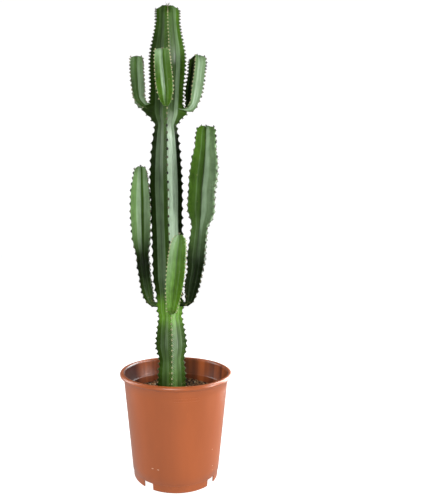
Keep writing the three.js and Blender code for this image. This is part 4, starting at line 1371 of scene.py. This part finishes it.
class PLANT_OT_add_soil_litter(bpy.types.Operator):
    """Scatter crumbs, perlite grains and torn fibres over the soil"""
    bl_idname = "plant.add_soil_litter"
    bl_label = "Add Soil Litter"

    def execute(self, context):
        settings = context.scene.plant_soil
        dice = random.Random(21)
        kinds = [
            ("soil_crumbs", settings.crumbs, (2.0, 6.5), 0.7,
             grain_material("composted_bark", "#a67d55", "#2c1c12", 2.5 * MM, 0.85)),
            ("perlite_grains", settings.perlite, (1.4, 4.0), 0.8,
             grain_material("expanded_perlite", "#f2e2bf", "#b39468", 1.2 * MM, 0.85)),
        ]
        for name, count, sizes, flat, finish in kinds:
            bm = bmesh.new()
            add_grains(bm, count, sizes, dice, settings, flat)
            bmesh.ops.recalc_face_normals(bm, faces=bm.faces[:])
            piece = new_piece(name, bm, finish, math.radians(40))
        bm = bmesh.new()
        for _ in range(settings.fibres):
            self.add_fibre(bm, dice, settings)
        fibres = new_piece("soil_fibres", bm, grain_material(
            "torn_coir_fibre", "#9c7a50", "#5d4229", 3 * MM, 0.8))
        return {"FINISHED"}

    def add_fibre(self, bm, dice, settings):
        """One fibre: a thin tapered stick, bowed a little to one side as it lies."""
        length = dice.uniform(*FIBRE_LENGTHS)
        width = dice.uniform(*FIBRE_WIDTHS)
        spot = soil_spot(dice, settings) + UP * FIBRE_LIFT
        turned = Matrix.Rotation(dice.uniform(*ANY_TURN), 4, "Z") @ Matrix.Rotation(
            dice.uniform(-0.12, 0.12) + math.pi / 2, 4, "Y")
        made = bmesh.ops.create_cone(
            bm, cap_ends=True, segments=5, radius1=width / 2, radius2=width / 5, depth=length,
            matrix=Matrix.Translation(spot) @ turned)
        sides = list({e for v in made["verts"] for e in v.link_edges
                      if e.calc_length() > length / 2})
        cut = bmesh.ops.subdivide_edges(bm, edges=sides, cuts=3, use_grid_fill=False)
        bend = dice.uniform(-0.2, 0.2)
        aside = turned @ Vector((0, 1, 0))
        for vert in {g for g in cut["geom_inner"] if isinstance(g, bmesh.types.BMVert)}:
            share = (vert.co - spot).length / (length / 2)
            vert.co += aside * bend * length * (1 - share * share)


# ----------------------------------------------------------------------- stems

class PLANT_OT_add_stems(bpy.types.Operator):
    """Grow the skin of the main stem and of every arm along the frame's stems"""
    bl_idname = "plant.add_stems"
    bl_label = "Add Stems"

    def execute(self, context):
        settings = context.scene.plant_stems
        finish = skin_material(settings)
        for name in HABITS:
            skin = new_piece(name + "_skin", skin_mesh(stem(name), settings), finish)
            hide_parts(name)
        return {"FINISHED"}


class PLANT_OT_add_spines(bpy.types.Operator):
    """Set a shield with a pair of spines on every tooth of every crest"""
    bl_idname = "plant.add_spines"
    bl_label = "Add Spines"

    def execute(self, context):
        settings = context.scene.plant_stems
        finish = spine_material(settings)
        for name in HABITS:
            spines = new_piece(
                name + "_spines", spine_mesh(stem(name), settings), finish, math.radians(50))
        return {"FINISHED"}


# ----------------------------------------------------------------------- stage

# Softboxes: (name, setting with its power, degrees round from the front, distance, height,
# (width, height of the box)), in metres.
SOFTBOXES = [
    ("right_softbox", "right_light", 125, 1.25, 0.62, (0.8, 1.7)),
    ("left_softbox", "left_light", -104, 1.25, 0.62, (0.5, 1.7)),
    ("right_key", "key_light", 74, 1.5, 0.35, (0.5, 1.0)),
    ("front_fill", "fill_light", -8, 2.0, 0.75, (0.9, 1.2)),
]
FLOOR_SIZE = 40.0
FLOOR_GAP = 0.2 * MM         # the paper lies this far below the pot, so that they don't flicker
CAMERA_SHIFT = (0.0842, 0.0053)
BACKDROP = 1.05              # brightness of the surround, where the camera sees it


def add_softbox(name, azimuth, distance, height, size, power):
    """A soft rectangular light at degrees round from the front, aimed at the plant's middle."""
    light = bpy.data.lights.new(name, "AREA")
    light.shape = "RECTANGLE"
    light.size, light.size_y = size
    light.energy = power
    lamp = bpy.data.objects.new(name, light)
    angle = math.radians(azimuth)
    lamp.location = (distance * math.sin(angle), -distance * math.cos(angle), height)
    aim = Vector((0, 0, height * 0.55 + 0.2)) - lamp.location
    lamp.rotation_euler = aim.to_track_quat("-Z", "Y").to_euler()
    lamp.visible_camera = False
    bpy.context.scene.collection.objects.link(lamp)


def add_floor():
    """A sheet of paper under the pot, which neither lights the plant nor shows in its gloss."""
    bm = bmesh.new()
    bmesh.ops.create_grid(bm, x_segments=8, y_segments=8, size=FLOOR_SIZE,
                          matrix=Matrix.Translation((0, 0, -FLOOR_GAP)))
    mesh = bpy.data.meshes.new("paper_floor")
    bm.to_mesh(mesh)
    bm.free()
    mesh.materials.append(floor_material())
    floor = bpy.data.objects.new("paper_floor", mesh)
    bpy.context.scene.collection.objects.link(floor)
    floor.visible_glossy = False
    floor.visible_diffuse = False


def add_surround():
    """A white surround, dimmer as a light than it looks, and paler below than above."""
    world = bpy.data.worlds.new("white_surround")
    world.use_nodes = True
    tree = world.node_tree
    tree.nodes.clear()
    way = add_node(tree, "ShaderNodeTexCoord").outputs["Generated"]
    split = add_node(tree, "ShaderNodeSeparateXYZ", {0: way})
    level = add_node(tree, "ShaderNodeMapRange", {
        "Value": split.outputs["Z"], "From Min": -0.6, "From Max": 0.4, "To Min": 0.5,
        "To Max": 0.1})
    dim = add_node(tree, "ShaderNodeBackground", {
        "Color": (1, 1, 1, 1), "Strength": level.outputs[0]})
    white = add_node(tree, "ShaderNodeBackground", {"Color": (1, 1, 1, 1), "Strength": BACKDROP})
    seen = add_node(tree, "ShaderNodeLightPath").outputs["Is Camera Ray"]
    both = add_node(tree, "ShaderNodeMixShader", {0: seen, 1: dim.outputs[0], 2: white.outputs[0]})
    add_node(tree, "ShaderNodeOutputWorld", {"Surface": both.outputs[0]})
    bpy.context.scene.world = world


def add_camera(settings):
    """The camera, level and in front of the pot."""
    data = bpy.data.cameras.new("camera")
    data.lens = settings.lens
    data.shift_x, data.shift_y = CAMERA_SHIFT
    camera = bpy.data.objects.new("camera", data)
    camera.location = (0, -settings.eye_distance, settings.eye_height)
    camera.rotation_euler = (math.radians(90), 0, 0)
    bpy.context.scene.collection.objects.link(camera)
    bpy.context.scene.camera = camera


class PLANT_OT_add_stage(bpy.types.Operator):
    """Add the paper floor, the softboxes, the white surround and the camera"""
    bl_idname = "plant.add_stage"
    bl_label = "Add Stage"

    def execute(self, context):
        settings = context.scene.plant_stage
        add_floor()
        for name, power, azimuth, distance, height, size in SOFTBOXES:
            add_softbox(name, azimuth, distance, height, size, getattr(settings, power))
        add_surround()
        add_camera(settings)
        context.scene.view_settings.view_transform = "Standard"
        return {"FINISHED"}


# ------------------------------------------------------------------ sidebar, run

class PLANT_PT_sidebar(bpy.types.Panel):
    """Buttons and sizes of the potted succulent"""
    bl_idname = "PLANT_PT_sidebar"
    bl_label = "Potted Succulent"
    bl_space_type = "VIEW_3D"
    bl_region_type = "UI"
    bl_category = "Plant"

    def draw(self, context):
        layout = self.layout
        for operator in OPERATORS:
            layout.operator(operator.bl_idname)
        for key, group in SETTINGS.items():
            box = layout.box()
            for name in group.__annotations__:
                box.prop(getattr(context.scene, key), name)


OPERATORS = (
    PLANT_OT_add_pot,
    PLANT_OT_add_soil,
    PLANT_OT_add_soil_litter,
    PLANT_OT_add_stems,
    PLANT_OT_add_spines,
    PLANT_OT_add_stage,
)
SETTINGS = {
    "plant_stems": PlantSettings,
    "plant_pot": PotSettings,
    "plant_soil": SoilSettings,
    "plant_stage": StageSettings,
}


def register():
    for group in (*SETTINGS.values(), *OPERATORS, PLANT_PT_sidebar):
        bpy.utils.register_class(group)
    for key, group in SETTINGS.items():
        setattr(bpy.types.Scene, key, PointerProperty(type=group))


def unregister():
    for key in SETTINGS:
        delattr(bpy.types.Scene, key)
    for group in (PLANT_PT_sidebar, *reversed(OPERATORS), *reversed(SETTINGS.values())):
        bpy.utils.unregister_class(group)


def main():
    register()
    bpy.ops.plant.add_pot()
    bpy.ops.plant.add_soil()
    bpy.ops.plant.add_soil_litter()
    bpy.ops.plant.add_stems()
    bpy.ops.plant.add_spines()
    bpy.ops.plant.add_stage()


if __name__ == "__main__":
    main()
